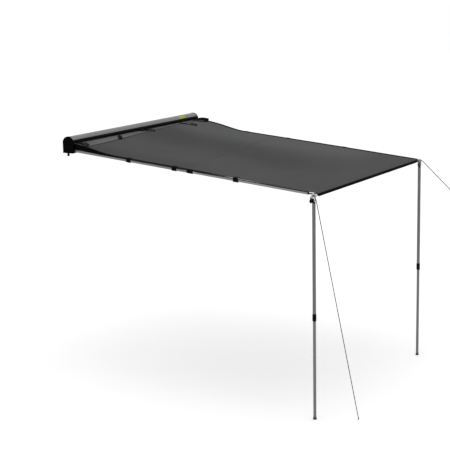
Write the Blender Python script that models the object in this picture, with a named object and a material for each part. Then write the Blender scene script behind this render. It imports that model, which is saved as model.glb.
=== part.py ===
"""Vehicle side awning, opened out.

An arched aluminium case runs along a vehicle's roof rack. Two telescopic arms swing out of it and carry a
front rail, and a cloth canopy is stretched from a keder groove in the case to a pocket round that rail.
Two telescopic legs hang from the corner brackets in the rail's ends. Each pair of tubes is clamped by a
twist lock: a fluted nut draws its cone over a split collet, which closes on the inner tube.

Frame: the origin is the centre of the case's back face. +X points away from the vehicle, +Y runs along it
with the near end at -Y, and +Z is up. Sizes are in metres, and angles in degrees are named so.
"""

import math
from typing import NamedTuple

import bmesh
import bpy
from mathutils import Matrix, Vector

# Clearances
GAP = 0.0003
RUNNING_GAP = 0.0018
CLOTH_LIFT = 0.0012

# Case: a back profile with the floor, and an arched hood that clips on it
CASE_LENGTH = 2.000
CASE_DEPTH = 0.118
CASE_HEIGHT = 0.145
CASE_WALL = 0.0022
FLOOR_SETBACK = 0.002
FLOOR_LIP = 0.0012
HOOD_EDGE_RISE = 0.0145
HOOD_LIP = 0.004
CAP_THICKNESS = 0.012
CAP_OVERHANG = 0.002
CAP_BEVEL = 0.004
CAP_PANEL_INSET = 0.010
CAP_PANEL_DEPTH = 0.0015
CAP_RIB_LENGTH = 0.008
CAP_RIB_THICKNESS = 0.002

# Rear slot for M8 bolt heads, and the keder groove that holds the cloth's bead
SLOT_Z = -0.020
SLOT_MOUTH = 0.009
SLOT_WIDTH = 0.018
SLOT_DEPTH = 0.007
BEAD_RADIUS = 0.0036
GROOVE_X = 0.0105
GROOVE_RISE = 0.004
GROOVE_WALL = 0.0018
GROOVE_MOUTH = 0.0032
TONGUE_THICKNESS = 0.002
TONGUE_HEIGHT = 0.0085

# Layout of the opened awning
RAIL_X = 2.518
ARM_SLOPE = 0.0865
ARM_INSET = 0.020
NEAR_PIVOT_X = 0.040
FAR_PIVOT_FROM_FRONT = 0.038
LEG_OFFSET = 0.018
LEG_DROP = 0.040
LEG_LENGTH = 1.8175

# Telescopic tubes and their twist lock
TUBE_RADIUS = 0.014
TUBE_WALL = 0.0014
INNER_WALL = 0.0012
TUBE_SIDES = 24
ARM_MOUTH = 1.290
LEG_MOUTH = 0.956
TUBE_OVERLAP = 0.111
TUBE_START = 0.0243
SPIGOT_END = 0.060
NUT_GRIP = 0.0025
NUT_REAR = 0.028
NUT_FRONT = 0.032
NUT_SIDES = 24
NUT_FLUTE_DEPTH = 0.0012
NUT_LIP = 0.0025
COLLET_LENGTH = 0.029
COLLET_TAPER_START = 0.014
COLLET_TAPER = 0.0008
COLLET_SLOT = 0.0016
COLLET_RING = 0.009

# Arm pivot: a knuckle on a bolt between two ears of a bracket
PIVOT_RADIUS = 0.004
KNUCKLE_RADIUS = 0.015
KNUCKLE_HALF = 0.0135
EAR_THICKNESS = 0.004
EAR_HALF_WIDTH = 0.0165
BRACKET_DEPTH = 0.020
BOLT_HEAD_RADIUS = 0.0068
BOLT_HEAD_HEIGHT = 0.005
BOLT_NUT_RADIUS = 0.0105
BOLT_NUT_HEIGHT = 0.012
BOLT_TAIL = 0.058

# Hook at the arm's end, and the corner bracket's tongue and pin that it drops on
HOOK_OFFSET = 0.029
HOOK_HALF_WIDTH = 0.012
HOOK_LOW = -0.0022
HOOK_HIGH = 0.0033
HOOK_NOSE = 0.013
HOOK_FLARE = 0.0045
PIN_RADIUS = 0.004
PIN_CLEARANCE = 0.0006
PIN_HEAD_RADIUS = 0.0055
PIN_REACH = 0.018
TONGUE_PLATE_THICKNESS = 0.004
TONGUE_PLATE_HALF_WIDTH = 0.013

# Front rail and its corner brackets
RAIL_RADIUS = 0.014
RAIL_END_INSET = 0.042
BLOCK_INNER = 0.038
BLOCK_OUTER = 0.014
BLOCK_BELOW = 0.012
BLOCK_ABOVE = 0.0105
BLOCK_LEG_MARGIN = 0.013
BLOCK_CORNER = 0.006
CLEVIS_THICKNESS = 0.004
CLEVIS_RADIUS = 0.014
EYE_OUT = 0.025
EYE_BELOW = 0.002
EYE_RADIUS = 0.0036
EYE_LUG_RADIUS = 0.009

# Leg head, its pin and the foot
HEAD_HALF_THICKNESS = 0.008
HEAD_HALF_WIDTH = 0.012
LEG_PIN_RADIUS = 0.003
LEG_PIN_HEAD = 0.005
LEG_PIN_HEAD_HEIGHT = 0.002
FOOT_HEIGHT = 0.018
FOOT_FLOOR = 0.008
FOOT_WALL = 0.0017
FOOT_BULGE = 0.0006

# Cloth
CLOTH_THICKNESS = 0.0015
CLOTH_HALF_WIDTH = 0.992
CLOTH_EXIT_DROP = 0.020
CLOTH_OVER_NUT = 0.003
CLOTH_OVER_RAIL = 0.0025
CLOTH_LEVEL_RUN = 0.009
RAIL_FALL_START = 1.500
EDGE_ZONE = 0.130
MIDDLE_SLOPE_END = 0.750
EDGE_SLOPE_END = 0.460
HEM_OVER_NUT = 0.0022
HEM_STEP = 0.0025
HEM_DROP_RUN = 0.008
POCKET_HALF_WIDTH = 0.950
POCKET_CLEARANCE = 0.0012
CREASE_X = 1.113
CREASE_SLANT = -0.133
CREASE_HEIGHT = 0.004
CREASE_HALF_WIDTH = 0.040

# Webbing, hook-and-loop straps and ropes
WEBBING_WIDTH = 0.025
WEBBING_THICKNESS = 0.0012
STRAP_LEAN_DEGREES = 65
BUCKLE_LENGTH = 0.036
BUCKLE_RIM = 0.004
BUCKLE_THICKNESS = 0.005
BUCKLE_SLOT = 0.005
ARM_STRAP_STATIONS = (0.700, 1.172, 1.776)
ARM_STRAP_WIDTH = 0.045
ARM_STRAP_THICKNESS = 0.0012
ROPE_RADIUS = 0.0025
STOPPER_RADIUS = 0.012
STOPPER_LENGTH = 0.050

# Places that follow from the sizes above
HALF_LENGTH = CASE_LENGTH / 2
FAR_PIVOT_X = CASE_DEPTH - FAR_PIVOT_FROM_FRONT
CASE_BOTTOM = -CASE_HEIGHT / 2
FLOOR_TOP = CASE_BOTTOM + CASE_WALL
ARCH_RADIUS = CASE_DEPTH / 2
ARCH_Z = CASE_HEIGHT / 2 - ARCH_RADIUS
HOOD_EDGE_Z = ARCH_Z + HOOD_EDGE_RISE
GROOVE_Z = ARCH_Z + GROOVE_RISE
TILT = math.atan(ARM_SLOPE)
NUT_RADIUS = TUBE_RADIUS + NUT_GRIP
TUBE_BORE = TUBE_RADIUS - TUBE_WALL
INNER_RADIUS = TUBE_BORE - GAP
INNER_BORE = INNER_RADIUS - INNER_WALL
CLOTH_ABOVE_ARMS = NUT_RADIUS + CLOTH_OVER_NUT
HEM_BOTTOM = NUT_RADIUS + HEM_OVER_NUT
CLOTH_AT_RAIL = RAIL_RADIUS + CLOTH_OVER_RAIL
BUCKLE_WIDTH = WEBBING_WIDTH + 2 * BUCKLE_RIM
ARM_Z_AT_FRONT = FLOOR_TOP + NUT_RADIUS / math.cos(TILT) + RUNNING_GAP
ARM_Y = HALF_LENGTH - ARM_INSET


def arm_plane(x):
    """Height of the plane that both arms swing in."""
    return ARM_Z_AT_FRONT - ARM_SLOPE * (x - CASE_DEPTH)


RAIL_Z = arm_plane(RAIL_X)
HINGE_Z = RAIL_Z - LEG_DROP
GROUND_Z = HINGE_Z - LEG_LENGTH


class Side(NamedTuple):
    """One end of the awning: its name, the sign of its Y, its arm pivot's X and its leg's X from the rail."""

    name: str
    sign: int
    pivot_x: float
    leg_dx: float

    @property
    def pin_dx(self):
        """X of the arm's pin, from the rail's axis."""
        return self.block_low - PIN_REACH

    @property
    def block_low(self):
        """The corner block's face towards the vehicle, from the rail's axis."""
        return min(-BLOCK_BELOW, self.leg_dx - BLOCK_LEG_MARGIN)

    @property
    def block_high(self):
        """The corner block's outer face, from the rail's axis."""
        return max(BLOCK_BELOW, self.leg_dx + BLOCK_LEG_MARGIN)

    @property
    def arm_reach(self):
        """Distance from the arm's pivot to its pin, along the arm."""
        return (RAIL_X + self.pin_dx - self.pivot_x) / math.cos(TILT)


NEAR = Side("near", -1, NEAR_PIVOT_X, -LEG_OFFSET)
FAR = Side("far", 1, FAR_PIVOT_X, LEG_OFFSET)
ARM_INNER_LENGTH = NEAR.arm_reach - HOOK_OFFSET - (ARM_MOUTH - TUBE_OVERLAP)
LEG_INNER_LENGTH = LEG_LENGTH - FOOT_FLOOR - GAP - (LEG_MOUTH - TUBE_OVERLAP)

# Colour in 8-bit sRGB, roughness and metallic value of each kind of piece
FINISHES = {
    "case_anodised": ((104, 106, 106), 0.38, 0.9),
    "hood_anodised": ((112, 114, 113), 0.36, 0.9),
    "cap_plastic": ((12, 12, 13), 0.5, 0.0),
    "bracket_steel": ((34, 35, 36), 0.45, 0.8),
    "bolt_steel": ((26, 26, 27), 0.4, 0.9),
    "canopy_cloth": ((80, 81, 80), 0.92, 0.0),
    "rail_aluminium": ((150, 151, 150), 0.35, 0.95),
    "corner_cast": ((196, 199, 198), 0.35, 0.9),
    "webbing": ((14, 14, 15), 0.85, 0.0),
    "buckle_plastic": ((18, 18, 19), 0.4, 0.0),
    "hook_tape": ((16, 16, 17), 0.9, 0.0),
    "tube_anodised": ((118, 120, 118), 0.4, 0.85),
    "inner_tube_anodised": ((132, 133, 131), 0.36, 0.9),
    "nylon_fitting": ((22, 22, 23), 0.5, 0.0),
    "lock_nylon": ((20, 20, 21), 0.45, 0.0),
    "rope": ((62, 63, 60), 0.85, 0.0),
    "stopper_rubber": ((13, 13, 14), 0.55, 0.0),
    "foot_rubber": ((24, 24, 24), 0.8, 0.0),
}


def finish(name):
    """Principled material of one of the kinds in FINISHES."""
    if name in bpy.data.materials:
        return bpy.data.materials[name]
    colour, roughness, metallic = FINISHES[name]
    linear = [((c / 255 + 0.055) / 1.055) ** 2.4 for c in colour]
    made = bpy.data.materials.new(name)
    made.use_nodes = True
    shader = made.node_tree.nodes["Principled BSDF"]
    shader.inputs["Base Color"].default_value = (*linear, 1.0)
    shader.inputs["Roughness"].default_value = roughness
    shader.inputs["Metallic"].default_value = metallic
    return made


# Modelling tools
def link(name, data, parent=None, location=(0, 0, 0), finish_name=None):
    """Object in the scene, at a place in its parent's frame."""
    made = bpy.data.objects.new(name, data)
    made.parent = parent
    made.location = location
    bpy.context.scene.collection.objects.link(made)
    if finish_name:
        data.materials.clear()
        data.materials.append(finish(finish_name))
    return made


def axis_frame(name, location, rotation=(0, 0, 0), parent=None):
    """Empty that stands on a joint's axis."""
    made = link(name, None, parent, location)
    made.rotation_euler = rotation
    made.empty_display_size = 0.05
    return made


def to_mesh(bm, name="body"):
    """Mesh with its faces pointing out and its round faces shaded smooth."""
    bmesh.ops.recalc_face_normals(bm, faces=bm.faces)
    mesh = bpy.data.meshes.new(name)
    bm.to_mesh(mesh)
    bm.free()
    mesh.shade_smooth()
    mesh.set_sharp_from_angle(angle=math.radians(35))
    return mesh


def arc(centre, radius, start_degrees, end_degrees, steps):
    """Points of a circular arc, both ends included."""
    turns = [math.radians(start_degrees + (end_degrees - start_degrees) * i / steps) for i in range(steps + 1)]
    return [(centre[0] + radius * math.cos(t), centre[1] + radius * math.sin(t)) for t in turns]


def on_axis(axis, u, v, w):
    """Point with w along the named axis, and u and v along the two others in order."""
    return Vector({"X": (w, u, v), "Y": (u, w, v), "Z": (u, v, w)}[axis])


def prism(outline, axis, low, high, chamfer_low=0.0, chamfer_high=0.0):
    """Outline drawn out along an axis, with a chamfer round either end where a width is given."""
    bm = bmesh.new()
    low_face = bm.faces.new([bm.verts.new(on_axis(axis, u, v, low)) for u, v in outline])
    grown = bmesh.ops.extrude_face_region(bm, geom=[low_face])["geom"]
    high_face = next(item for item in grown if isinstance(item, bmesh.types.BMFace))
    bmesh.ops.translate(bm, verts=high_face.verts, vec=on_axis(axis, 0, 0, high - low))
    rims = [(list(low_face.edges), chamfer_low), (list(high_face.edges), chamfer_high)]
    for edges, width in rims:
        if width:
            bmesh.ops.bevel(bm, geom=edges, offset=width, affect="EDGES", segments=1, profile=0.5, material=-1)
    return to_mesh(bm)


def turned(profile, axis="Z", steps=TUBE_SIDES):
    """Body of revolution. Its (radius, height) points run from the axis to the axis, or right round a ring."""
    bm = bmesh.new()
    ring = [bm.verts.new((radius, 0, height)) for radius, height in profile]
    edges = [bm.edges.new(pair) for pair in zip(ring, ring[1:])]
    if min(radius for radius, _ in profile) > 0:
        edges.append(bm.edges.new((ring[-1], ring[0])))
    bmesh.ops.spin(bm, geom=ring + edges, cent=(0, 0, 0), axis=(0, 0, 1), angle=math.tau, steps=steps,
                   use_merge=True)
    bmesh.ops.remove_doubles(bm, verts=bm.verts, dist=1e-6)
    turn = {"X": Matrix.Rotation(math.pi / 2, 4, "Y"), "Y": Matrix.Rotation(-math.pi / 2, 4, "X"),
            "Z": Matrix.Identity(4)}[axis]
    bmesh.ops.transform(bm, matrix=turn, verts=bm.verts)
    return to_mesh(bm)


def rod(radius, low, high, axis="Z", steps=TUBE_SIDES):
    """Solid round bar."""
    return turned([(0, low), (radius, low), (radius, high), (0, high)], axis, steps)


def pipe(radius, bore, low, high, axis="X", steps=TUBE_SIDES):
    """Round tube, open at both ends."""
    return turned([(bore, low), (radius, low), (radius, high), (bore, high)], axis, steps)


def moved(mesh, matrix):
    """Mesh carried by a matrix."""
    mesh.transform(matrix)
    return mesh


def mirrored(mesh):
    """Mesh with left and right changed over, its faces still pointing out."""
    mesh.transform(Matrix.Scale(-1, 4, (0, 1, 0)))
    mesh.flip_normals()
    return mesh


def on_side(mesh, side):
    """Mesh drawn for the far side, where outward is +Y, as it is on the given side."""
    return mesh if side.sign > 0 else mirrored(mesh)


def combined(mesh, others, operation):
    """Mesh after an exact Boolean with each of the others in turn."""
    body = link("body", mesh)
    tools = [link("tool", other) for other in others]
    for tool in tools:
        step = body.modifiers.new(operation.title(), "BOOLEAN")
        step.operation = operation
        step.object = tool
    graph = bpy.context.evaluated_depsgraph_get()
    made = bpy.data.meshes.new_from_object(body.evaluated_get(graph))
    for item in [body, *tools]:
        bpy.data.objects.remove(item)
    made.set_sharp_from_angle(angle=math.radians(35))
    return made


def joined(mesh, *others):
    """Mesh united with the others."""
    return combined(mesh, others, "UNION")


def cut(mesh, *others):
    """Mesh with the others taken out of it."""
    return combined(mesh, others, "DIFFERENCE")


def rounded(low, high, radius):
    """Outline of a rectangle with rounded corners."""
    centres = [(high[0] - radius, low[1] + radius), (high[0] - radius, high[1] - radius),
               (low[0] + radius, high[1] - radius), (low[0] + radius, low[1] + radius)]
    return [point for i, centre in enumerate(centres) for point in arc(centre, radius, 90 * i - 90, 90 * i, 3)]


def hexagon(across_corners_radius):
    """Six-sided outline of a bolt head or nut."""
    return arc((0, 0), across_corners_radius, 0, 300, 5)


def band_outline(path, thickness):
    """Closed outline of a band of even thickness that follows a 2-D path."""
    left, right = [], []
    for i, here in enumerate(path):
        before, after = Vector(path[max(i - 1, 0)]), Vector(path[min(i + 1, len(path) - 1)])
        here = Vector(here)
        arriving, leaving = (here - before), (after - here)
        along = (arriving.normalized() + leaving.normalized()).normalized()
        across = Vector((-along.y, along.x))
        turn = max(along.dot((leaving if leaving.length else arriving).normalized()), 0.5)
        left.append(here + across * thickness / 2 / turn)
        right.append(here - across * thickness / 2 / turn)
    return [tuple(p) for p in left + right[::-1]]


def smooth_route(points, steps):
    """Catmull-Rom curve through hand-chosen points, with the same number of steps between each two."""
    points = [Vector(p) for p in points]
    padded = [2 * points[0] - points[1], *points, 2 * points[-1] - points[-2]]
    made = []
    for a, b, c, d in zip(padded, padded[1:], padded[2:], padded[3:]):
        for i in range(steps):
            t = i / steps
            made.append(0.5 * (2 * b + (c - a) * t + (2 * a - 5 * b + 4 * c - d) * t**2
                               + (3 * b - a - 3 * c + d) * t**3))
    return [*made, points[-1]]


def ribbon(path, sides):
    """Band of webbing along a 3-D path, its width along the side vector at each point."""
    bm = bmesh.new()
    rings = []
    for i, (here, side) in enumerate(zip(path, sides)):
        along = (path[min(i + 1, len(path) - 1)] - path[max(i - 1, 0)]).normalized()
        across = side * WEBBING_WIDTH / 2
        rise = side.cross(along).normalized() * WEBBING_THICKNESS / 2
        corners = (across + rise, across - rise, -across - rise, -across + rise)
        rings.append([bm.verts.new(here + corner) for corner in corners])
    for one, two in zip(rings, rings[1:]):
        for i in range(4):
            bm.faces.new((one[i], one[(i + 1) % 4], two[(i + 1) % 4], two[i]))
    bm.faces.new(rings[0])
    bm.faces.new(rings[-1])
    bmesh.ops.triangulate(bm, faces=bm.faces[:])
    return to_mesh(bm)


def rope(name, route, steps, parent=None):
    """Round rope as a bevelled poly curve through a smooth route."""
    points = smooth_route(route, steps)
    curve = bpy.data.curves.new(name, "CURVE")
    curve.dimensions = "3D"
    curve.bevel_depth = ROPE_RADIUS
    curve.bevel_resolution = 2
    curve.use_fill_caps = True
    spline = curve.splines.new("POLY")
    spline.points.add(len(points) - 1)
    for knot, point in zip(spline.points, points):
        knot.co = (*point, 1)
    return link(name, curve, parent, finish_name="rope")


# Case
def arch_inner_x(z):
    """Inner face of the arch's back half at a height."""
    inner = ARCH_RADIUS - CASE_WALL
    return ARCH_RADIUS - math.sqrt(inner**2 - (z - ARCH_Z) ** 2)


def back_profile_outline():
    """Section of the back profile: floor, back wall with its slot, keder groove and snap tongue."""
    floor_end = CASE_DEPTH - FLOOR_SETBACK
    floor = [(0, CASE_BOTTOM), (floor_end, CASE_BOTTOM), (floor_end, FLOOR_TOP + FLOOR_LIP),
             (floor_end - CASE_WALL, FLOOR_TOP + FLOOR_LIP), (floor_end - CASE_WALL, FLOOR_TOP),
             (CASE_WALL, FLOOR_TOP)]
    channel_x = CASE_WALL + SLOT_DEPTH + CASE_WALL
    channel_half = SLOT_WIDTH / 2 + CASE_WALL
    channel = [(CASE_WALL, SLOT_Z - channel_half), (channel_x, SLOT_Z - channel_half),
               (channel_x, SLOT_Z + channel_half), (CASE_WALL, SLOT_Z + channel_half)]
    bore = BEAD_RADIUS + 2 * GAP
    outer = bore + GROOVE_WALL
    centre = (GROOVE_X, GROOVE_Z)
    tongue_top = ARCH_Z + TONGUE_HEIGHT
    tongue_out = arch_inner_x(tongue_top) + GAP
    tongue_in = tongue_out + TONGUE_THICKNESS
    joint = math.degrees(math.acos((tongue_in - GROOVE_X) / outer))
    lip_out = math.degrees(math.asin(GROOVE_MOUTH / 2 / outer))
    lip_in = math.degrees(math.asin(GROOVE_MOUTH / 2 / bore))
    groove = [(CASE_WALL, ARCH_Z - outer), (tongue_in, ARCH_Z - outer),
              *arc(centre, outer, 360 - joint, 360 - lip_out, 6),
              *arc(centre, bore, 360 - lip_in, lip_in, 12),
              *arc(centre, outer, lip_out, joint, 6)]
    tongue = [(tongue_in, tongue_top), (tongue_out, tongue_top), (tongue_out, ARCH_Z), (0, ARCH_Z)]
    inner_x = CASE_WALL + SLOT_DEPTH
    slot = [(0, SLOT_Z + SLOT_MOUTH / 2), (CASE_WALL, SLOT_Z + SLOT_MOUTH / 2),
            (CASE_WALL, SLOT_Z + SLOT_WIDTH / 2), (inner_x, SLOT_Z + SLOT_WIDTH / 2),
            (inner_x, SLOT_Z - SLOT_WIDTH / 2), (CASE_WALL, SLOT_Z - SLOT_WIDTH / 2),
            (CASE_WALL, SLOT_Z - SLOT_MOUTH / 2), (0, SLOT_Z - SLOT_MOUTH / 2)]
    return floor + channel + groove + tongue + slot


def hood_outline():
    """Section of the hood: the arch from its back joint over the top to the curled front edge."""
    centre = (ARCH_RADIUS, ARCH_Z)
    inner = ARCH_RADIUS - CASE_WALL
    edge = math.degrees(math.asin(HOOD_EDGE_RISE / ARCH_RADIUS))
    lip_top = HOOD_EDGE_Z + CASE_WALL
    inner_edge = math.degrees(math.asin((lip_top - ARCH_Z) / inner))
    joint = 180 - math.degrees(math.asin(GAP / ARCH_RADIUS))
    lip_x = ARCH_RADIUS + ARCH_RADIUS * math.cos(math.radians(edge)) - HOOD_LIP
    return [*arc(centre, ARCH_RADIUS, edge, joint, 20), *arc(centre, inner, joint, inner_edge, 20),
            (lip_x, lip_top), (lip_x, HOOD_EDGE_Z)]


def build_case():
    """Back profile and hood, with the floor drilled for the arms' pivot bolts."""
    holes = [moved(rod(PIVOT_RADIUS + 2 * GAP, -0.040, -0.015, steps=16), arm_matrix(side)) for side in (NEAR, FAR)]
    back = cut(prism(back_profile_outline(), "Y", -HALF_LENGTH, HALF_LENGTH), *holes)
    link("case_back_profile", back, finish_name="case_anodised")
    link("case_hood", prism(hood_outline(), "Y", -HALF_LENGTH, HALF_LENGTH), finish_name="hood_anodised")


def cap_outline():
    """D shape of the end caps, a little larger than the case but flush with its back."""
    radius = ARCH_RADIUS + CAP_OVERHANG
    low = CASE_BOTTOM - CAP_OVERHANG
    back = math.degrees(math.acos(-ARCH_RADIUS / radius))
    corner = 0.010
    front = ARCH_RADIUS + radius
    return [(0, low), *arc((front - corner, low + corner), corner, -90, 0, 4),
            *arc((ARCH_RADIUS, ARCH_Z), radius, 0, back, 16)]


def cap_mesh():
    """End cap with a chamfered rim, a sunk panel and the rib that locates it in the hood."""
    bm = bmesh.new()
    inner_face = bm.faces.new([bm.verts.new((x, HALF_LENGTH + GAP, z)) for x, z in cap_outline()])
    grown = bmesh.ops.extrude_face_region(bm, geom=[inner_face])["geom"]
    outer_face = next(item for item in grown if isinstance(item, bmesh.types.BMFace))
    bmesh.ops.translate(bm, verts=outer_face.verts, vec=(0, CAP_THICKNESS, 0))
    rim = list(outer_face.edges)
    bmesh.ops.recalc_face_normals(bm, faces=bm.faces)
    bmesh.ops.inset_region(bm, faces=[outer_face], thickness=CAP_PANEL_INSET, depth=0)
    bmesh.ops.inset_region(bm, faces=[outer_face], thickness=CAP_PANEL_DEPTH, depth=-CAP_PANEL_DEPTH)
    bmesh.ops.bevel(bm, geom=rim, offset=CAP_BEVEL, affect="EDGES", segments=2, profile=0.5, material=-1)
    plate = to_mesh(bm)
    rib_outer = ARCH_RADIUS - CASE_WALL - GAP
    centre = (ARCH_RADIUS, ARCH_Z)
    section = [*arc(centre, rib_outer, 30, 150, 10), *arc(centre, rib_outer - CAP_RIB_THICKNESS, 150, 30, 10)]
    rib = prism(section, "Y", HALF_LENGTH - CAP_RIB_LENGTH, HALF_LENGTH + 2 * GAP + CAP_RIB_THICKNESS)
    return joined(plate, rib)


# Arms
def arm_matrix(side):
    """Frame of an arm: origin on its pivot, X along the opened arm and Z along the pivot's axis."""
    place = Matrix.Translation((side.pivot_x, side.sign * ARM_Y, arm_plane(side.pivot_x)))
    return place @ Matrix.Rotation(TILT, 4, "Y")


def hinge_bracket_mesh(side):
    """Bracket in the case's end: a block on the floor and two ears across the arm's pivot."""
    back, front = CASE_WALL + GAP, CASE_WALL + GAP + BRACKET_DEPTH
    slot_x = CASE_WALL + SLOT_DEPTH + CASE_WALL + GAP
    slot_z = SLOT_Z - SLOT_WIDTH / 2 - CASE_WALL - GAP
    top = arm_plane(front) + KNUCKLE_HALF + EAR_THICKNESS + 0.004
    section = [(back, FLOOR_TOP + GAP), (front, FLOOR_TOP + GAP), (front, top), (slot_x, top), (slot_x, slot_z),
               (back, slot_z)]
    block = prism(section, "Y", side.sign * ARM_Y - EAR_HALF_WIDTH, side.sign * ARM_Y + EAR_HALF_WIDTH)
    block = moved(block, arm_matrix(side).inverted())
    ear_back = slot_x + 0.002 - side.pivot_x
    ear = [(ear_back, -EAR_HALF_WIDTH), *arc((0, 0), EAR_HALF_WIDTH, -90, 90, 10), (ear_back, EAR_HALF_WIDTH)]
    low = KNUCKLE_HALF + GAP
    ears = [prism(ear, "Z", low, low + EAR_THICKNESS), prism(ear, "Z", -low - EAR_THICKNESS, -low)]
    return cut(joined(block, *ears), rod(PIVOT_RADIUS + GAP, -0.030, 0.030, steps=16))


def pivot_bolt_mesh(side):
    """Arm's pivot bolt from its head over the upper ear, down through the floor, with its nut below."""
    head = KNUCKLE_HALF + EAR_THICKNESS + 2 * GAP
    tilt_rise = BOLT_NUT_RADIUS * math.tan(TILT)
    nut = (CASE_BOTTOM - arm_plane(side.pivot_x)) / math.cos(TILT) - tilt_rise - GAP
    return joined(rod(PIVOT_RADIUS, -BOLT_TAIL, head + BOLT_HEAD_HEIGHT / 2, steps=16),
                  prism(hexagon(BOLT_HEAD_RADIUS), "Z", head, head + BOLT_HEAD_HEIGHT),
                  prism(hexagon(BOLT_NUT_RADIUS), "Z", nut - BOLT_NUT_HEIGHT, nut, 0.001, 0.001))


def knuckle_mesh():
    """Moulding on the arm's pivot: a barrel, a neck, and a flanged spigot that plugs into the outer tube."""
    barrel = rod(KNUCKLE_RADIUS, -KNUCKLE_HALF, KNUCKLE_HALF)
    neck_end = TUBE_START - GAP - 0.002
    neck = prism([(0.006, -0.009), (neck_end, -0.009), (neck_end, 0.009), (0.006, 0.009)], "Z", -0.0105, 0.0105)
    plug = turned([(0, neck_end - 0.003), (TUBE_RADIUS, neck_end - 0.003), (TUBE_RADIUS, TUBE_START - GAP),
                   (INNER_RADIUS, TUBE_START - GAP), (INNER_RADIUS, SPIGOT_END), (0, SPIGOT_END)], "X")
    bore = rod(PIVOT_RADIUS + GAP, -2 * KNUCKLE_HALF, 2 * KNUCKLE_HALF, steps=16)
    return cut(joined(barrel, neck, plug), bore)


def end_hook_mesh():
    """Hook at the inner tube's end: a spigot in the tube and a notched plate that drops on the corner's pin."""
    flange = HOOK_OFFSET - GAP
    spigot = turned([(0, -flange - 0.030), (INNER_BORE - GAP, -flange - 0.030), (INNER_BORE - GAP, -flange),
                     (INNER_RADIUS, -flange), (INNER_RADIUS, -flange + 0.004), (0, -flange + 0.004)], "X")
    notch = PIN_RADIUS + PIN_CLEARANCE
    plate = [(-flange + 0.002, HOOK_HALF_WIDTH), (-notch, HOOK_HALF_WIDTH), *arc((0, 0), notch, 180, 360, 10),
             (notch + HOOK_FLARE, HOOK_HALF_WIDTH), (HOOK_NOSE, HOOK_HALF_WIDTH), (HOOK_NOSE, -0.008),
             (HOOK_NOSE - 0.004, -HOOK_HALF_WIDTH), (-flange + 0.002, -HOOK_HALF_WIDTH)]
    return joined(spigot, prism(plate, "Z", HOOK_LOW, HOOK_HIGH))


# Twist lock, the same on arms and legs; its own frame's origin is at the outer tube's mouth
def collet_mesh():
    """Split collet: a ring against the outer tube's mouth, with four sprung fingers that narrow to the front."""
    narrow = TUBE_RADIUS - COLLET_TAPER
    sleeve = turned([(INNER_RADIUS + GAP, GAP), (TUBE_RADIUS, GAP), (TUBE_RADIUS, COLLET_TAPER_START),
                     (narrow, COLLET_LENGTH), (INNER_RADIUS + GAP, COLLET_LENGTH)], "X")
    slot = [(COLLET_RING, -COLLET_SLOT / 2), (COLLET_LENGTH + 0.002, -COLLET_SLOT / 2),
            (COLLET_LENGTH + 0.002, COLLET_SLOT / 2), (COLLET_RING, COLLET_SLOT / 2)]
    upright = prism(slot, "Z", -0.020, 0.020)
    level = moved(prism(slot, "Z", -0.020, 0.020), Matrix.Rotation(math.pi / 2, 4, "X"))
    return cut(sleeve, upright, level)


def lock_nut_mesh():
    """Lock nut: flutes for the fingers outside, and inside the cone that closes the collet."""
    bore = TUBE_RADIUS + GAP
    rim = NUT_RADIUS - 0.0005
    lip = NUT_FRONT - NUT_LIP
    grip_rows = (-NUT_REAR + 0.004, NUT_FRONT - 0.005)
    profile = [(bore, -NUT_REAR), (rim - 0.001, -NUT_REAR), (rim, -NUT_REAR + 0.002), (NUT_RADIUS, grip_rows[0]),
               (NUT_RADIUS, grip_rows[1]), (rim, NUT_FRONT - 0.003), (rim - 0.0012, NUT_FRONT),
               (INNER_RADIUS + 2 * GAP, NUT_FRONT), (INNER_RADIUS + 2 * GAP, lip),
               (bore - COLLET_TAPER, lip), (bore, COLLET_TAPER_START)]
    nut = turned(profile, "X", NUT_SIDES)
    for vertex in nut.vertices:
        spoke = Vector((vertex.co.y, vertex.co.z))
        column = round(math.atan2(spoke.y, spoke.x) / math.tau * NUT_SIDES)
        if spoke.length > NUT_RADIUS - GAP and column % 2 == 0:
            spoke *= (NUT_RADIUS - NUT_FLUTE_DEPTH) / spoke.length
            vertex.co.y, vertex.co.z = spoke
    nut.set_sharp_from_angle(angle=math.radians(35))
    return nut


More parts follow.
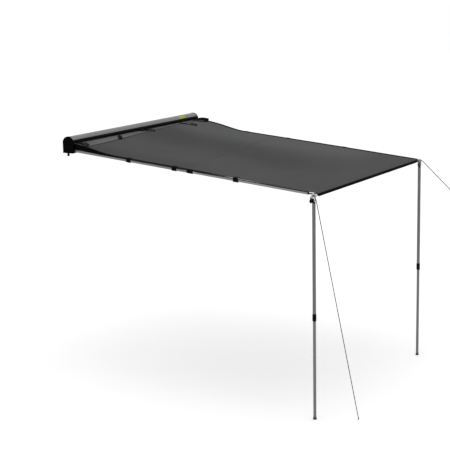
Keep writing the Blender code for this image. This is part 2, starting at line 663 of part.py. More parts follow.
# Front rail and its corner brackets
def corner_bracket_mesh(side):
    """Corner bracket, with its origin on the rail's axis in the case's end plane and outward at +Y."""
    inner, outer = -BLOCK_INNER, BLOCK_OUTER
    low, high = side.block_low, side.block_high
    face = rounded((low, -BLOCK_BELOW), (high, BLOCK_ABOVE), BLOCK_CORNER)
    block = prism(face, "Y", inner, outer, 0.0015, 0.0015)
    flange = -RAIL_END_INSET + GAP
    spigot = turned([(0, flange - 0.055), (RAIL_RADIUS - TUBE_WALL - GAP, flange - 0.055),
                     (RAIL_RADIUS - TUBE_WALL - GAP, flange), (RAIL_RADIUS, flange),
                     (RAIL_RADIUS, inner + 0.003), (0, inner + 0.003)], "Y")
    plate_top = (HOOK_LOW - GAP) / math.cos(TILT)
    plate_low = plate_top - TONGUE_PLATE_THICKNESS
    root, tip = low + 0.004, side.pin_dx - 0.010
    plate = prism([(x, -ARM_SLOPE * x + z) for x, z in
                   ((root, plate_low), (root, plate_top), (tip, plate_top), (tip, plate_low))],
                  "Y", -ARM_INSET - TONGUE_PLATE_HALF_WIDTH, -ARM_INSET + TONGUE_PLATE_HALF_WIDTH)
    head = HOOK_HIGH + 0.0012
    pin = turned([(0, plate_low + 0.001), (PIN_RADIUS, plate_low + 0.001), (PIN_RADIUS, head),
                  (PIN_HEAD_RADIUS, head), (PIN_HEAD_RADIUS, head + 0.0025), (0, head + 0.003)])
    tilted = Matrix.Translation((side.pin_dx, -ARM_INSET, -ARM_SLOPE * side.pin_dx)) @ Matrix.Rotation(TILT, 4, "Y")
    clevis = [(-CLEVIS_RADIUS, -BLOCK_BELOW + 0.002), *arc((0, -LEG_DROP), CLEVIS_RADIUS, 180, 360, 10),
              (CLEVIS_RADIUS, -BLOCK_BELOW + 0.002)]
    ear = HEAD_HALF_THICKNESS + GAP
    ears = [prism(clevis, "X", side.leg_dx + ear, side.leg_dx + ear + CLEVIS_THICKNESS),
            prism(clevis, "X", side.leg_dx - ear - CLEVIS_THICKNESS, side.leg_dx - ear)]
    eye = (EYE_OUT, -EYE_BELOW)
    lug = prism([(outer - 0.002, eye[1] - EYE_LUG_RADIUS), *arc(eye, EYE_LUG_RADIUS, -90, 90, 8),
                 (outer - 0.002, eye[1] + EYE_LUG_RADIUS)], "X", side.leg_dx - 0.002, side.leg_dx + 0.002)
    body = joined(block, spigot, plate, moved(pin, tilted), *ears, lug)
    reach = CLEVIS_THICKNESS + 2 * ear
    pin_hole = moved(rod(LEG_PIN_RADIUS + GAP, -reach, reach, "X", 16),
                     Matrix.Translation((side.leg_dx, 0, -LEG_DROP)))
    eye_hole = moved(rod(EYE_RADIUS, -reach, reach, "X", 12), Matrix.Translation((side.leg_dx, *eye)))
    return on_side(cut(body, pin_hole, eye_hole), side)


# Legs
def leg_head_mesh():
    """Moulding at the leg's top: a rounded tongue between the clevis ears, a shoulder and a spigot."""
    tongue = [*arc((0, 0), HEAD_HALF_WIDTH, 90, 270, 12), (0.0205, -HEAD_HALF_WIDTH), (0.0205, HEAD_HALF_WIDTH)]
    shoulder = TUBE_START - GAP
    plug = turned([(0, 0.0195), (TUBE_RADIUS, 0.0195), (TUBE_RADIUS, shoulder), (INNER_RADIUS, shoulder),
                   (INNER_RADIUS, SPIGOT_END), (0, SPIGOT_END)], "X")
    body = joined(prism(tongue, "Z", -HEAD_HALF_THICKNESS, HEAD_HALF_THICKNESS), plug)
    return cut(body, rod(LEG_PIN_RADIUS + GAP, -0.020, 0.020, steps=16))


def leg_pin_mesh():
    """Headed pin through the clevis and the leg's head."""
    face = HEAD_HALF_THICKNESS + GAP + CLEVIS_THICKNESS + GAP
    end = face + LEG_PIN_HEAD_HEIGHT
    return turned([(0, -end), (LEG_PIN_HEAD, -end), (LEG_PIN_HEAD, -face), (LEG_PIN_RADIUS, -face),
                   (LEG_PIN_RADIUS, face), (LEG_PIN_HEAD, face), (LEG_PIN_HEAD, end), (0, end)], steps=16)


def foot_mesh():
    """Rubber foot: a cup over the lower tube's end, with a bulge above its flat sole."""
    bore = INNER_RADIUS + GAP
    wall = bore + FOOT_WALL
    return turned([(0, -FOOT_FLOOR), (bore, -FOOT_FLOOR), (bore, -FOOT_HEIGHT), (wall, -FOOT_HEIGHT),
                   (wall, -FOOT_FLOOR), (wall + FOOT_BULGE, -0.75 * FOOT_FLOOR),
                   (wall + FOOT_BULGE, -0.25 * FOOT_FLOOR), (wall - FOOT_BULGE, 0), (0, 0)], "X")


# Cloth
def eased(value, start, end):
    """Smooth step from 0 at the start to 1 at the end."""
    t = min(max((value - start) / (end - start), 0.0), 1.0)
    return t * t * (3 - 2 * t)


def between(low, high, share):
    """Value a share of the way from low to high."""
    return low + (high - low) * share


def crease_x(y):
    """X of the soft crease that crosses the cloth."""
    return CREASE_X + CREASE_SLANT * y


def cloth_z(x, y):
    """Height of the cloth's middle surface between the keder groove and the rail."""
    groove_end = GROOVE_X + CLOTH_LEVEL_RUN
    exit_z = HOOD_EDGE_Z - CLOTH_EXIT_DROP
    if x <= CASE_DEPTH:
        return between(GROOVE_Z, exit_z, max(x - groove_end, 0) / (CASE_DEPTH - groove_end))
    at_case = exit_z - arm_plane(CASE_DEPTH)
    middle = between(at_case, CLOTH_ABOVE_ARMS, eased(x, CASE_DEPTH, MIDDLE_SLOPE_END))
    edge = between(at_case, CLOTH_ABOVE_ARMS, eased(x, CASE_DEPTH, EDGE_SLOPE_END))
    rise = between(middle, edge, eased(abs(y), CLOTH_HALF_WIDTH - EDGE_ZONE, CLOTH_HALF_WIDTH))
    rise -= (CLOTH_ABOVE_ARMS - CLOTH_AT_RAIL) * eased(x, RAIL_FALL_START, RAIL_X - RAIL_RADIUS)
    rise += CREASE_HEIGHT * max(0.0, 1 - abs(x - crease_x(y)) / CREASE_HALF_WIDTH)
    return arm_plane(x) + rise


def hem_z(x, y):
    """Height of the side hem's lower edge, which hangs to the arms where the cloth is still high."""
    share = eased(x, CASE_DEPTH - HEM_DROP_RUN, CASE_DEPTH)
    return between(cloth_z(x, y), arm_plane(x) + HEM_BOTTOM, share if x < RAIL_X - BLOCK_INNER else 0.0)


def cloth_columns(near_half, far_half):
    """Places across the cloth, closer together at its side hems."""
    halves = []
    for half_width in (near_half, far_half):
        hem = [half_width, half_width - HEM_STEP, half_width - 10 * HEM_STEP]
        halves.append(hem + [half_width * share for share in (0.93, 0.80, 0.55, 0.28)])
    return [-y for y in halves[0]] + [0.0] + halves[1][::-1]


def cloth_rows():
    """X, slant and half width of each row of points from the groove to the rail."""
    wide = CLOTH_HALF_WIDTH
    inside = [GROOVE_X, GROOVE_X + CLOTH_LEVEL_RUN, between(GROOVE_X, CASE_DEPTH, 0.55), CASE_DEPTH - HEM_DROP_RUN,
              CASE_DEPTH]
    falling = [CASE_DEPTH + step for step in (0.020, 0.047, 0.082, 0.132, 0.200, 0.280, 0.380, 0.500, 0.630)]
    rows = [(x, 0.0, wide) for x in inside + falling]
    rows += [(CREASE_X + step, CREASE_SLANT, wide) for step in (-CREASE_HALF_WIDTH, 0.0, CREASE_HALF_WIDTH)]
    corner_start = RAIL_X - BLOCK_INNER - 0.012
    span_start = CREASE_X + CREASE_HALF_WIDTH - CREASE_SLANT * wide + 0.155
    rows += [(between(span_start, corner_start, i / 5), 0.0, wide) for i in range(6)]
    rows += [(RAIL_X - BLOCK_LEG_MARGIN - 0.018, 0.0, wide), (RAIL_X - 0.018, 0.0, wide)]
    return rows


def pocket_points():
    """(x, z) of the pocket's section, from the rail's top round its outer side and back under the cloth."""
    radius = RAIL_RADIUS + POCKET_CLEARANCE + CLOTH_THICKNESS / 2
    round_rail = arc((RAIL_X, RAIL_Z), radius, 90, -180, 9)
    seam_x = RAIL_X - radius - 0.003
    return [*round_rail, (seam_x, cloth_z(seam_x, 0) - CLOTH_THICKNESS / 2 - 2 * GAP)]


def pocket_halves(count):
    """Near and far half width of the pocket's first rows, which are cut away where the brackets' blocks stand."""
    wide, narrow = CLOTH_HALF_WIDTH, POCKET_HALF_WIDTH
    near = [wide, wide, wide, wide, between(wide, narrow, 0.5)]
    far = [wide, between(wide, narrow, 0.5)]
    return list(zip(near + [narrow] * (count - len(near)), far + [narrow] * (count - len(far))))


def build_canopy():
    """Cloth from its keder bead, out over the arms, to the pocket round the rail."""
    bm = bmesh.new()
    grid = []
    for start, slant, half_width in cloth_rows():
        columns = cloth_columns(half_width, half_width)
        row = []
        for y in columns:
            x = start + slant * y
            z = hem_z(x, y) if y in (columns[0], columns[-1]) else cloth_z(x, y)
            row.append(bm.verts.new((x, y, z)))
        grid.append(row)
    section = pocket_points()
    for (x, z), halves in zip(section, pocket_halves(len(section))):
        grid.append([bm.verts.new((x, y, z)) for y in cloth_columns(*halves)])
    for one, two in zip(grid, grid[1:]):
        for i in range(len(one) - 1):
            bm.faces.new((one[i], two[i], two[i + 1], one[i + 1]))
    canopy = link("canopy", to_mesh(bm), finish_name="canopy_cloth")
    thickness = canopy.modifiers.new("Cloth thickness", "SOLIDIFY")
    thickness.thickness = CLOTH_THICKNESS
    thickness.offset = 0.0
    bead_half = CLOTH_HALF_WIDTH - 0.002
    bead = link("keder_bead_shape", rod(BEAD_RADIUS, -bead_half, bead_half, "Y", 12),
                location=(GROOVE_X, 0, GROOVE_Z))
    bead.hide_render = True
    bead.display_type = "WIRE"
    welt = canopy.modifiers.new("Keder bead", "BOOLEAN")
    welt.operation = "UNION"
    welt.object = bead


# Webbing that lies on the cloth, and the straps that hold its hems to the arms
def on_cloth(x, y, lift):
    """Point above the cloth."""
    return Vector((x, y, cloth_z(x, y) + lift))


def cloth_normal(x, y):
    """Direction out of the cloth's upper face."""
    step = 0.004
    outward = on_cloth(x + step, y, 0) - on_cloth(x - step, y, 0)
    across = on_cloth(x, y + step, 0) - on_cloth(x, y - step, 0)
    return outward.cross(across).normalized()


def lying_strap(route):
    """Ribbon of webbing along (x, y) points that half stands on its edge midway, and the frame at its outer end."""
    flat = smooth_route([(x, y, 0) for x, y in route], 3)
    most = math.radians(STRAP_LEAN_DEGREES)
    leans = [most * math.sin(math.pi * i / (len(flat) - 1)) ** 2 for i in range(len(flat))]
    lift = CLOTH_LIFT + WEBBING_THICKNESS / 2
    path = [on_cloth(p.x, p.y, lift + WEBBING_WIDTH / 2 * math.sin(lean)) for p, lean in zip(flat, leans)]
    ups = [cloth_normal(p.x, p.y) for p in flat]
    sides = [up.cross(b - a).normalized() for up, a, b in zip(ups, path, path[1:] + path[-1:])]
    sides[-1] = sides[-2]
    sides = [side * math.cos(lean) + up * math.sin(lean) for side, up, lean in zip(sides, ups, leans)]
    along = (path[-1] - on_cloth(flat[-2].x, flat[-2].y, lift)).normalized()
    up = along.cross(sides[-1])
    rotation = Matrix((along, sides[-1], up)).transposed().to_4x4()
    buckle_rise = (BUCKLE_THICKNESS - WEBBING_THICKNESS) / 2 + 2 * GAP
    start = path[-1] + along * GAP + up * buckle_rise
    return ribbon(path, sides), Matrix.Translation(start) @ rotation


def buckle_mesh():
    """Three-bar slide buckle, from its origin along +X."""
    half = BUCKLE_WIDTH / 2
    frame = [(0, -half), (BUCKLE_LENGTH, -half + 0.003), (BUCKLE_LENGTH, half - 0.003), (0, half)]
    slots = []
    for start in (0.006, BUCKLE_LENGTH - 0.006 - BUCKLE_SLOT):
        reach = WEBBING_WIDTH / 2 + 0.0005
        window = [(start, -reach), (start + BUCKLE_SLOT, -reach), (start + BUCKLE_SLOT, reach), (start, reach)]
        slots.append(prism(window, "Z", -BUCKLE_THICKNESS, BUCKLE_THICKNESS))
    thick = BUCKLE_THICKNESS / 2
    return cut(prism(frame, "Z", -thick, thick, 0.0008, 0.0008), *slots)


def build_tie_straps():
    """Five webbing straps that tie the rolled canopy, lying loose on it beside the case."""
    near, far = -CLOTH_HALF_WIDTH, CLOTH_HALF_WIDTH
    out = CASE_DEPTH
    routes = {
        "near_end": [(out - 0.020, near + 0.066), (out + 0.017, near + 0.048), (out + 0.052, near + 0.040),
                     (out + 0.085, near + 0.038)],
        "near_middle": [(out - 0.022, -0.285), (out + 0.012, -0.345), (out + 0.054, -0.412), (out + 0.092, -0.450)],
        "middle": [(out - 0.020, -0.010), (out + 0.007, 0.010), (out + 0.034, 0.040), (out + 0.070, 0.072)],
        "far_middle": [(out - 0.020, 0.690), (out + 0.032, 0.660), (out + 0.082, 0.672), (out + 0.144, 0.690)],
    }
    for place, route in routes.items():
        strap, end = lying_strap(route)
        link(f"{place}_strap", strap, finish_name="webbing")
        buckle = link(f"{place}_buckle", buckle_mesh(), finish_name="buckle_plastic")
        buckle.matrix_world = end
    loop_y = far - 0.040
    lift = CLOTH_LIFT + WEBBING_THICKNESS / 2
    loop = [on_cloth(out - 0.022, loop_y, lift + 0.004), on_cloth(out + 0.012, loop_y, 0.011),
            on_cloth(out + 0.047, loop_y, 0.026), on_cloth(out + 0.087, loop_y, 0.040),
            on_cloth(out + 0.132, loop_y - 0.003, 0.037), on_cloth(out + 0.153, loop_y - 0.006, 0.020),
            on_cloth(out + 0.137, loop_y - 0.010, 0.006), on_cloth(out + 0.100, loop_y - 0.014, lift + 0.001),
            on_cloth(out + 0.050, loop_y - 0.018, lift + 0.001), on_cloth(out + 0.004, loop_y - 0.022, lift),
            on_cloth(out - 0.018, loop_y - 0.022, lift)]
    path = smooth_route(loop, 2)
    link("far_end_strap", ribbon(path, [Vector((0, 1, 0))] * len(path)), finish_name="webbing")


def build_arm_straps(side):
    """Hook-and-loop straps from the side hem down round the arm, open inwards so that the arm swings out."""
    half = ARM_STRAP_THICKNESS / 2
    reach = ARM_Y + TUBE_RADIUS + RUNNING_GAP + half
    low = -TUBE_RADIUS - 3 * GAP - half
    corner = 0.003
    strip = ARM_STRAP_WIDTH / 2
    for count, station in enumerate(ARM_STRAP_STATIONS, 1):
        on_hem = max(cloth_z(x, y) - arm_plane(x) for x in (station - strip, station, station + strip)
                     for y in (CLOTH_HALF_WIDTH - 0.032, CLOTH_HALF_WIDTH))
        top = on_hem + CLOTH_THICKNESS / 2 + 2 * GAP + half
        path = [(CLOTH_HALF_WIDTH - 0.032, top), *arc((reach - corner, top - corner), corner, 90, 0, 3),
                *arc((reach - corner, low + corner), corner, 0, -90, 3), (ARM_Y - 0.008, low)]
        body = on_side(prism(band_outline(path, ARM_STRAP_THICKNESS), "X", -strip, strip), side)
        strap = link(f"{side.name}_arm_strap_{count}", body, location=(station, 0, arm_plane(station)),
                     finish_name="hook_tape")
        strap.rotation_euler = (0, TILT, 0)


# Assembly
def build_arm(side):
    """Bracket, bolt and the telescopic arm that swings in the arm plane."""
    name = side.name
    pivot = axis_frame(f"{name}_arm_pivot", arm_matrix(side).translation, (0, TILT, 0))
    link(f"{name}_hinge_bracket", hinge_bracket_mesh(side), pivot, finish_name="bracket_steel")
    link(f"{name}_pivot_bolt", pivot_bolt_mesh(side), pivot, finish_name="bolt_steel")
    swing = axis_frame(f"{name}_arm_swing", (0, 0, 0), parent=pivot)
    link(f"{name}_arm_knuckle", knuckle_mesh(), swing, finish_name="nylon_fitting")
    outer = pipe(TUBE_RADIUS, TUBE_BORE, TUBE_START, ARM_MOUTH)
    link(f"{name}_arm_outer_tube", outer, swing, finish_name="tube_anodised")
    add_twist_lock(f"{name}_arm", swing, ARM_MOUTH)
    start = side.arm_reach - HOOK_OFFSET - ARM_INNER_LENGTH
    slide = axis_frame(f"{name}_arm_slide", (start, 0, 0), parent=swing)
    inner = pipe(INNER_RADIUS, INNER_BORE, 0, ARM_INNER_LENGTH)
    link(f"{name}_arm_inner_tube", inner, slide, finish_name="inner_tube_anodised")
    link(f"{name}_arm_hook", on_side(end_hook_mesh(), side), slide, (ARM_INNER_LENGTH + HOOK_OFFSET, 0, 0),
         "nylon_fitting")


def add_twist_lock(name, parent, mouth):
    """Collet and lock nut at an outer tube's mouth."""
    link(f"{name}_collet", collet_mesh(), parent, (mouth, 0, 0), "nylon_fitting")
    link(f"{name}_lock_nut", lock_nut_mesh(), parent, (mouth, 0, 0), "lock_nylon")


def build_leg(side):
    """Telescopic leg on its pin in the corner bracket's clevis."""
    name = side.name
    place = (RAIL_X + side.leg_dx, side.sign * HALF_LENGTH, HINGE_Z)
    hinge = axis_frame(f"{name}_leg_hinge", place, (0, math.pi / 2, 0))
    link(f"{name}_leg_pin", leg_pin_mesh(), hinge, finish_name="bolt_steel")
    fold = axis_frame(f"{name}_leg_fold", (0, 0, 0), parent=hinge)
    link(f"{name}_leg_head", leg_head_mesh(), fold, finish_name="nylon_fitting")
    upper = pipe(TUBE_RADIUS, TUBE_BORE, TUBE_START, LEG_MOUTH)
    link(f"{name}_leg_upper_tube", upper, fold, finish_name="tube_anodised")
    add_twist_lock(f"{name}_leg", fold, LEG_MOUTH)
    start = LEG_MOUTH - TUBE_OVERLAP
    slide = axis_frame(f"{name}_leg_slide", (start, 0, 0), parent=fold)
    lower = pipe(INNER_RADIUS, INNER_BORE, 0, LEG_INNER_LENGTH)
    link(f"{name}_leg_lower_tube", lower, slide, finish_name="inner_tube_anodised")
    link(f"{name}_leg_foot", foot_mesh(), slide, (LEG_LENGTH - start, 0, 0), "foot_rubber")


def build_front():
    """Front rail and the corner brackets in its ends."""
    half = HALF_LENGTH - RAIL_END_INSET
    tube = pipe(RAIL_RADIUS, RAIL_RADIUS - TUBE_WALL, -half, half, "Y")
    link("front_rail", tube, location=(RAIL_X, 0, RAIL_Z), finish_name="rail_aluminium")
    for side in (NEAR, FAR):
        link(f"{side.name}_corner_bracket", corner_bracket_mesh(side), finish_name="corner_cast",
             location=(RAIL_X, side.sign * HALF_LENGTH, RAIL_Z))


def stopper_mesh():
    """Teardrop stopper that keeps a rope's knotted end from slipping back through the eye."""
    widest = STOPPER_RADIUS
    return turned([(0, 0), (0.0030, 0), (0.0045, -0.006), (0.60 * widest, -0.36 * STOPPER_LENGTH),
                   (0.90 * widest, -0.58 * STOPPER_LENGTH), (widest, -0.76 * STOPPER_LENGTH),
                   (0.80 * widest, -0.92 * STOPPER_LENGTH), (0.40 * widest, -STOPPER_LENGTH),
                   (0, -STOPPER_LENGTH)], steps=16)


def build_ropes():
    """Guy ropes: the near one to the ground, the far one to its runner and end loop."""
    near_route = [
        (2.4880, -1.0270, -0.2717), (2.4887, -1.0265, -0.2670), (2.4930, -1.0255, -0.2627),
        (2.5000, -1.0250, -0.2615), (2.5080, -1.0250, -0.2625), (2.5200, -1.0250, -0.2680),
        (2.5285, -1.0245, -0.2800), (2.5340, -1.0225, -0.3000), (2.5450, -1.0155, -0.3700),
        (2.5640, -1.0035, -0.4920), (2.5966, -0.9827, -0.7000), (2.6436, -0.9528, -1.0000),
        (2.6984, -0.9180, -1.3500), (2.7532, -0.8832, -1.7000), (2.8180, -0.8420, -2.1140),
    ]
    far_route = [
        (2.5240, 1.0270, -0.2717), (2.5247, 1.0265, -0.2670), (2.5290, 1.0255, -0.2627),
        (2.5360, 1.0250, -0.2615), (2.5440, 1.0255, -0.2625), (2.5560, 1.0275, -0.2690),
        (2.5700, 1.0300, -0.2820), (2.6400, 1.0433, -0.3520), (2.7400, 1.0622, -0.4520),
        (2.8340, 1.0800, -0.5460),
    ]
    for name, route in (("near", near_route), ("far", far_route)):
        rope(f"{name}_guy_rope", route, 3)
        top = Vector(route[0]) + Vector((0, 0, -GAP))
        link(f"{name}_rope_stopper", stopper_mesh(), location=top, finish_name="stopper_rubber")
    end, before = Vector(far_route[-1]), Vector(far_route[-2])
    along = (end - before).normalized()
    turn = along.to_track_quat("X", "Z").to_matrix().to_4x4()
    runner = link("far_rope_runner", pipe(0.0070, ROPE_RADIUS + 2 * GAP, -0.014, 0.014, "X", 12),
                  finish_name="buckle_plastic")
    runner.matrix_world = Matrix.Translation(end - along * 0.026) @ turn
    knot = turned([(0, 0), (0.0045, 0.001), (0.0062, 0.005), (0.0062, 0.009), (0.0040, 0.013), (0, 0.014)], "X", 8)
    ring = turned([(0.013 + x, z) for x, z in arc((0, 0), ROPE_RADIUS, 0, 300, 5)], "Z", 16)
    ring = moved(ring, Matrix.Translation((0.034, 0, 0)) @ Matrix.Diagonal((1.7, 1, 1, 1)))
    loop = link("far_rope_loop", joined(knot, ring), finish_name="rope")
    loop.matrix_world = Matrix.Translation(end + along * GAP) @ turn


def build():
    """The whole awning."""
    for item in list(bpy.data.objects):
        bpy.data.objects.remove(item)
    build_case()
    for side in (NEAR, FAR):
        cap = on_side(cap_mesh(), side)
        link(f"{side.name}_end_cap", cap, finish_name="cap_plastic")
        build_arm(side)
        build_leg(side)
        build_arm_straps(side)
    build_front()
    build_canopy()
    build_tie_straps()
    build_ropes()


build()
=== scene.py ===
"""Looks of an opened vehicle side awning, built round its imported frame.

Everything is in metres on the frame's own axes: the origin is the centre of the case's back face, +X points the way
that the canopy opens out, +Y runs along the case from its near end to its far end, and +Z is up.
"""

import logging
import math
from dataclasses import dataclass
from enum import Enum
from typing import Callable, Iterable, Sequence

import bmesh
import bpy
from mathutils import Matrix, Vector


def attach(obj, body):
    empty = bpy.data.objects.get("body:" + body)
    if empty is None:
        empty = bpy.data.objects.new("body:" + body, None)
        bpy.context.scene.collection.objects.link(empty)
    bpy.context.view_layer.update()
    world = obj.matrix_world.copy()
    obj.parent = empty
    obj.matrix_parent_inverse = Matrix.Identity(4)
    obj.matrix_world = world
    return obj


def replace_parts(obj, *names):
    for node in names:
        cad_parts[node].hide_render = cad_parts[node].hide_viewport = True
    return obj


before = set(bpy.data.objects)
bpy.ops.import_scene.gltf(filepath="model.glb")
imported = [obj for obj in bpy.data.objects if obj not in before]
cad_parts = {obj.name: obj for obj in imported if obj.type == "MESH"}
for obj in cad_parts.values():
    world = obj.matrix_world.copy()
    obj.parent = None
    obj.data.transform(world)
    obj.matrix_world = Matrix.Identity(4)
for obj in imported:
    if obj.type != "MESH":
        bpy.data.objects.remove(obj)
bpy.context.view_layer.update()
LOG = logging.getLogger("awning")

Colour = tuple[int, int, int]
Masks = tuple[float, float, float]
Place = tuple[float, float]
Socket = bpy.types.NodeSocket
ROOT_BODY = "case_and_canopy"
# Attribute masks of the cloth: the paler strip, which also carries painted light; the black, which also carries
# painted shade; and the fold mask, which carries painted shade.
CLOTH_MASKS = ("strip", "binding", "fold")


class Axis(Enum):
    """Direction that a profile was drawn in, as the stretch of its surface pattern on X, Y and Z."""

    X = (0.02, 1.0, 1.0)
    Y = (1.0, 0.02, 1.0)
    Z = (1.0, 1.0, 0.02)


class End(Enum):
    """End of the awning, as its name and the sign of its Y."""

    NEAR = ("near", -1)
    FAR = ("far", 1)

    @property
    def label(self) -> str:
        """Name that the end's pieces start with."""
        return self.value[0]

    @property
    def sign(self) -> int:
        """Sign of the end's Y."""
        return self.value[1]

    def pick(self, near: float, far: float) -> float:
        """The one of two values that belongs to this end."""
        return near if self is End.NEAR else far


@dataclass(frozen=True)
class Plan:
    """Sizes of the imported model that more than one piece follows."""

    case_depth: float = 0.118
    arch_radius: float = 0.059
    arch_z: float = 0.0135
    hood_edge_z: float = 0.028
    groove_x: float = 0.0105
    groove_z: float = 0.0175
    arm_y: float = 0.980
    arm_slope: float = 0.0865
    arm_front_z: float = -0.051938
    tube_radius: float = 0.014
    rail_x: float = 2.518
    rail_z: float = -0.259538
    rail_radius: float = 0.014
    cloth_half: float = 0.00075
    ground_z: float = -2.117038

    def arm_plane(self, x: float) -> float:
        """Height of the plane that the arms swing in."""
        return self.arm_front_z - self.arm_slope * (x - self.case_depth)


PLAN = Plan()
ARM_TILT = Matrix.Rotation(math.atan(PLAN.arm_slope), 4, "Y")


def eased(value: float, start: float, end: float) -> float:
    """Smooth step.

    Args:
        value: where to read the step.
        start: where it leaves 0.
        end: where it reaches 1.

    Returns:
        A number from 0 to 1.
    """
    t = min(max((value - start) / (end - start), 0.0), 1.0)
    return t * t * (3 - 2 * t)


def plateau(value: float, start: float, full: float, leave: float, end: float) -> float:
    """Share that rises smoothly from the start to full, holds there, and falls away between leave and the end."""
    return eased(value, start, full) * (1 - eased(value, leave, end))


def between(low: float, high: float, share: float) -> float:
    """Value a share of the way from low to high."""
    return low + (high - low) * share


def spaced(low: float, high: float, count: int) -> list[float]:
    """Values in so many even steps, both ends included."""
    return [between(low, high, i / count) for i in range(count + 1)]


def linear(colour: Colour) -> tuple[float, float, float, float]:
    """Scene-linear colour with full alpha for an 8-bit sRGB one."""
    r, g, b = (((c / 255 + 0.055) / 1.055) ** 2.4 for c in colour)
    return (r, g, b, 1.0)


# Shader graphs
class Graph:
    """Short way of adding nodes to one tree and wiring them."""

    def __init__(self, tree: bpy.types.NodeTree) -> None:
        """Keeps the tree that the nodes go in."""
        self.tree = tree

    def feed(self, socket: Socket, value: object) -> None:
        """Gives an input a link, if the value is a socket, or else a plain value."""
        if isinstance(value, bpy.types.NodeSocket):
            self.tree.links.new(value, socket)
        else:
            socket.default_value = value

    def node(self, kind: str, inputs: dict[str | int, object] | None = None, **settings: object) -> bpy.types.Node:
        """Adds a node.

        Args:
            kind: its type.
            inputs: what its inputs get, by their name or number.
            settings: its own settings.

        Returns:
            The new node.
        """
        made = self.tree.nodes.new(kind)
        for key, value in settings.items():
            setattr(made, key, value)
        for key, value in (inputs or {}).items():
            self.feed(made.inputs[key], value)
        return made

    def math(self, operation: str, *values: object) -> Socket:
        """Math node on one to three values."""
        return self.node("ShaderNodeMath", dict(enumerate(values)), operation=operation).outputs[0]

    def times(self, one: object, two: object) -> Socket:
        """Product of two values."""
        return self.math("MULTIPLY", one, two)

    def scaled(self, value: object, by: object, plus: object) -> Socket:
        """Value times a factor, plus an offset."""
        return self.math("MULTIPLY_ADD", value, by, plus)

    def mean(self, one: object, two: object, share: float) -> Socket:
        """Mean of two values, of which the first has the given share."""
        return self.scaled(one, share, self.times(two, 1 - share))

    def sine(self, value: Socket, turns: float) -> Socket:
        """Sine of a value, in so many turns for each unit of it."""
        return self.math("SINE", self.times(value, turns * math.tau))

    def remap(self, value: object, low: float, high: float, to_low: float = 0.0, to_high: float = 1.0) -> Socket:
        """Value carried from one range to another, and held inside it."""
        inputs = dict(enumerate((value, low, high, to_low, to_high)))
        return self.node("ShaderNodeMapRange", inputs, clamp=True).outputs[0]

    def blend(self, factor: object, one: object, two: object) -> Socket:
        """Colour mixed from two others."""
        return self.node("ShaderNodeMix", {0: factor, 6: one, 7: two}, data_type="RGBA").outputs[2]

    def noise(self, vector: Socket, scale: object, detail: float = 3.0, rough: float = 0.5) -> Socket:
        """Fractal noise from 0 to 1."""
        inputs = {"Vector": vector, "Scale": scale, "Detail": detail, "Roughness": rough}
        return self.node("ShaderNodeTexNoise", inputs).outputs[0]

    def split(self, vector: Socket) -> tuple[Socket, Socket, Socket]:
        """X, Y and Z of a vector."""
        return tuple(self.node("ShaderNodeSeparateXYZ", {0: vector}).outputs[:3])

    def place(self, source: str, scale: tuple[float, float, float] = (1, 1, 1)) -> Socket:
        """Texture coordinate of the named kind, stretched."""
        coordinate = self.node("ShaderNodeTexCoord").outputs[source]
        return self.node("ShaderNodeMapping", {"Vector": coordinate, "Scale": scale}).outputs[0]

    def bump(self, height: Socket, depth: float, strength: float) -> Socket:
        """Normal bent by a height map whose full range is the depth in metres."""
        return self.node("ShaderNodeBump", {"Strength": strength, "Distance": depth, "Height": height}).outputs[0]


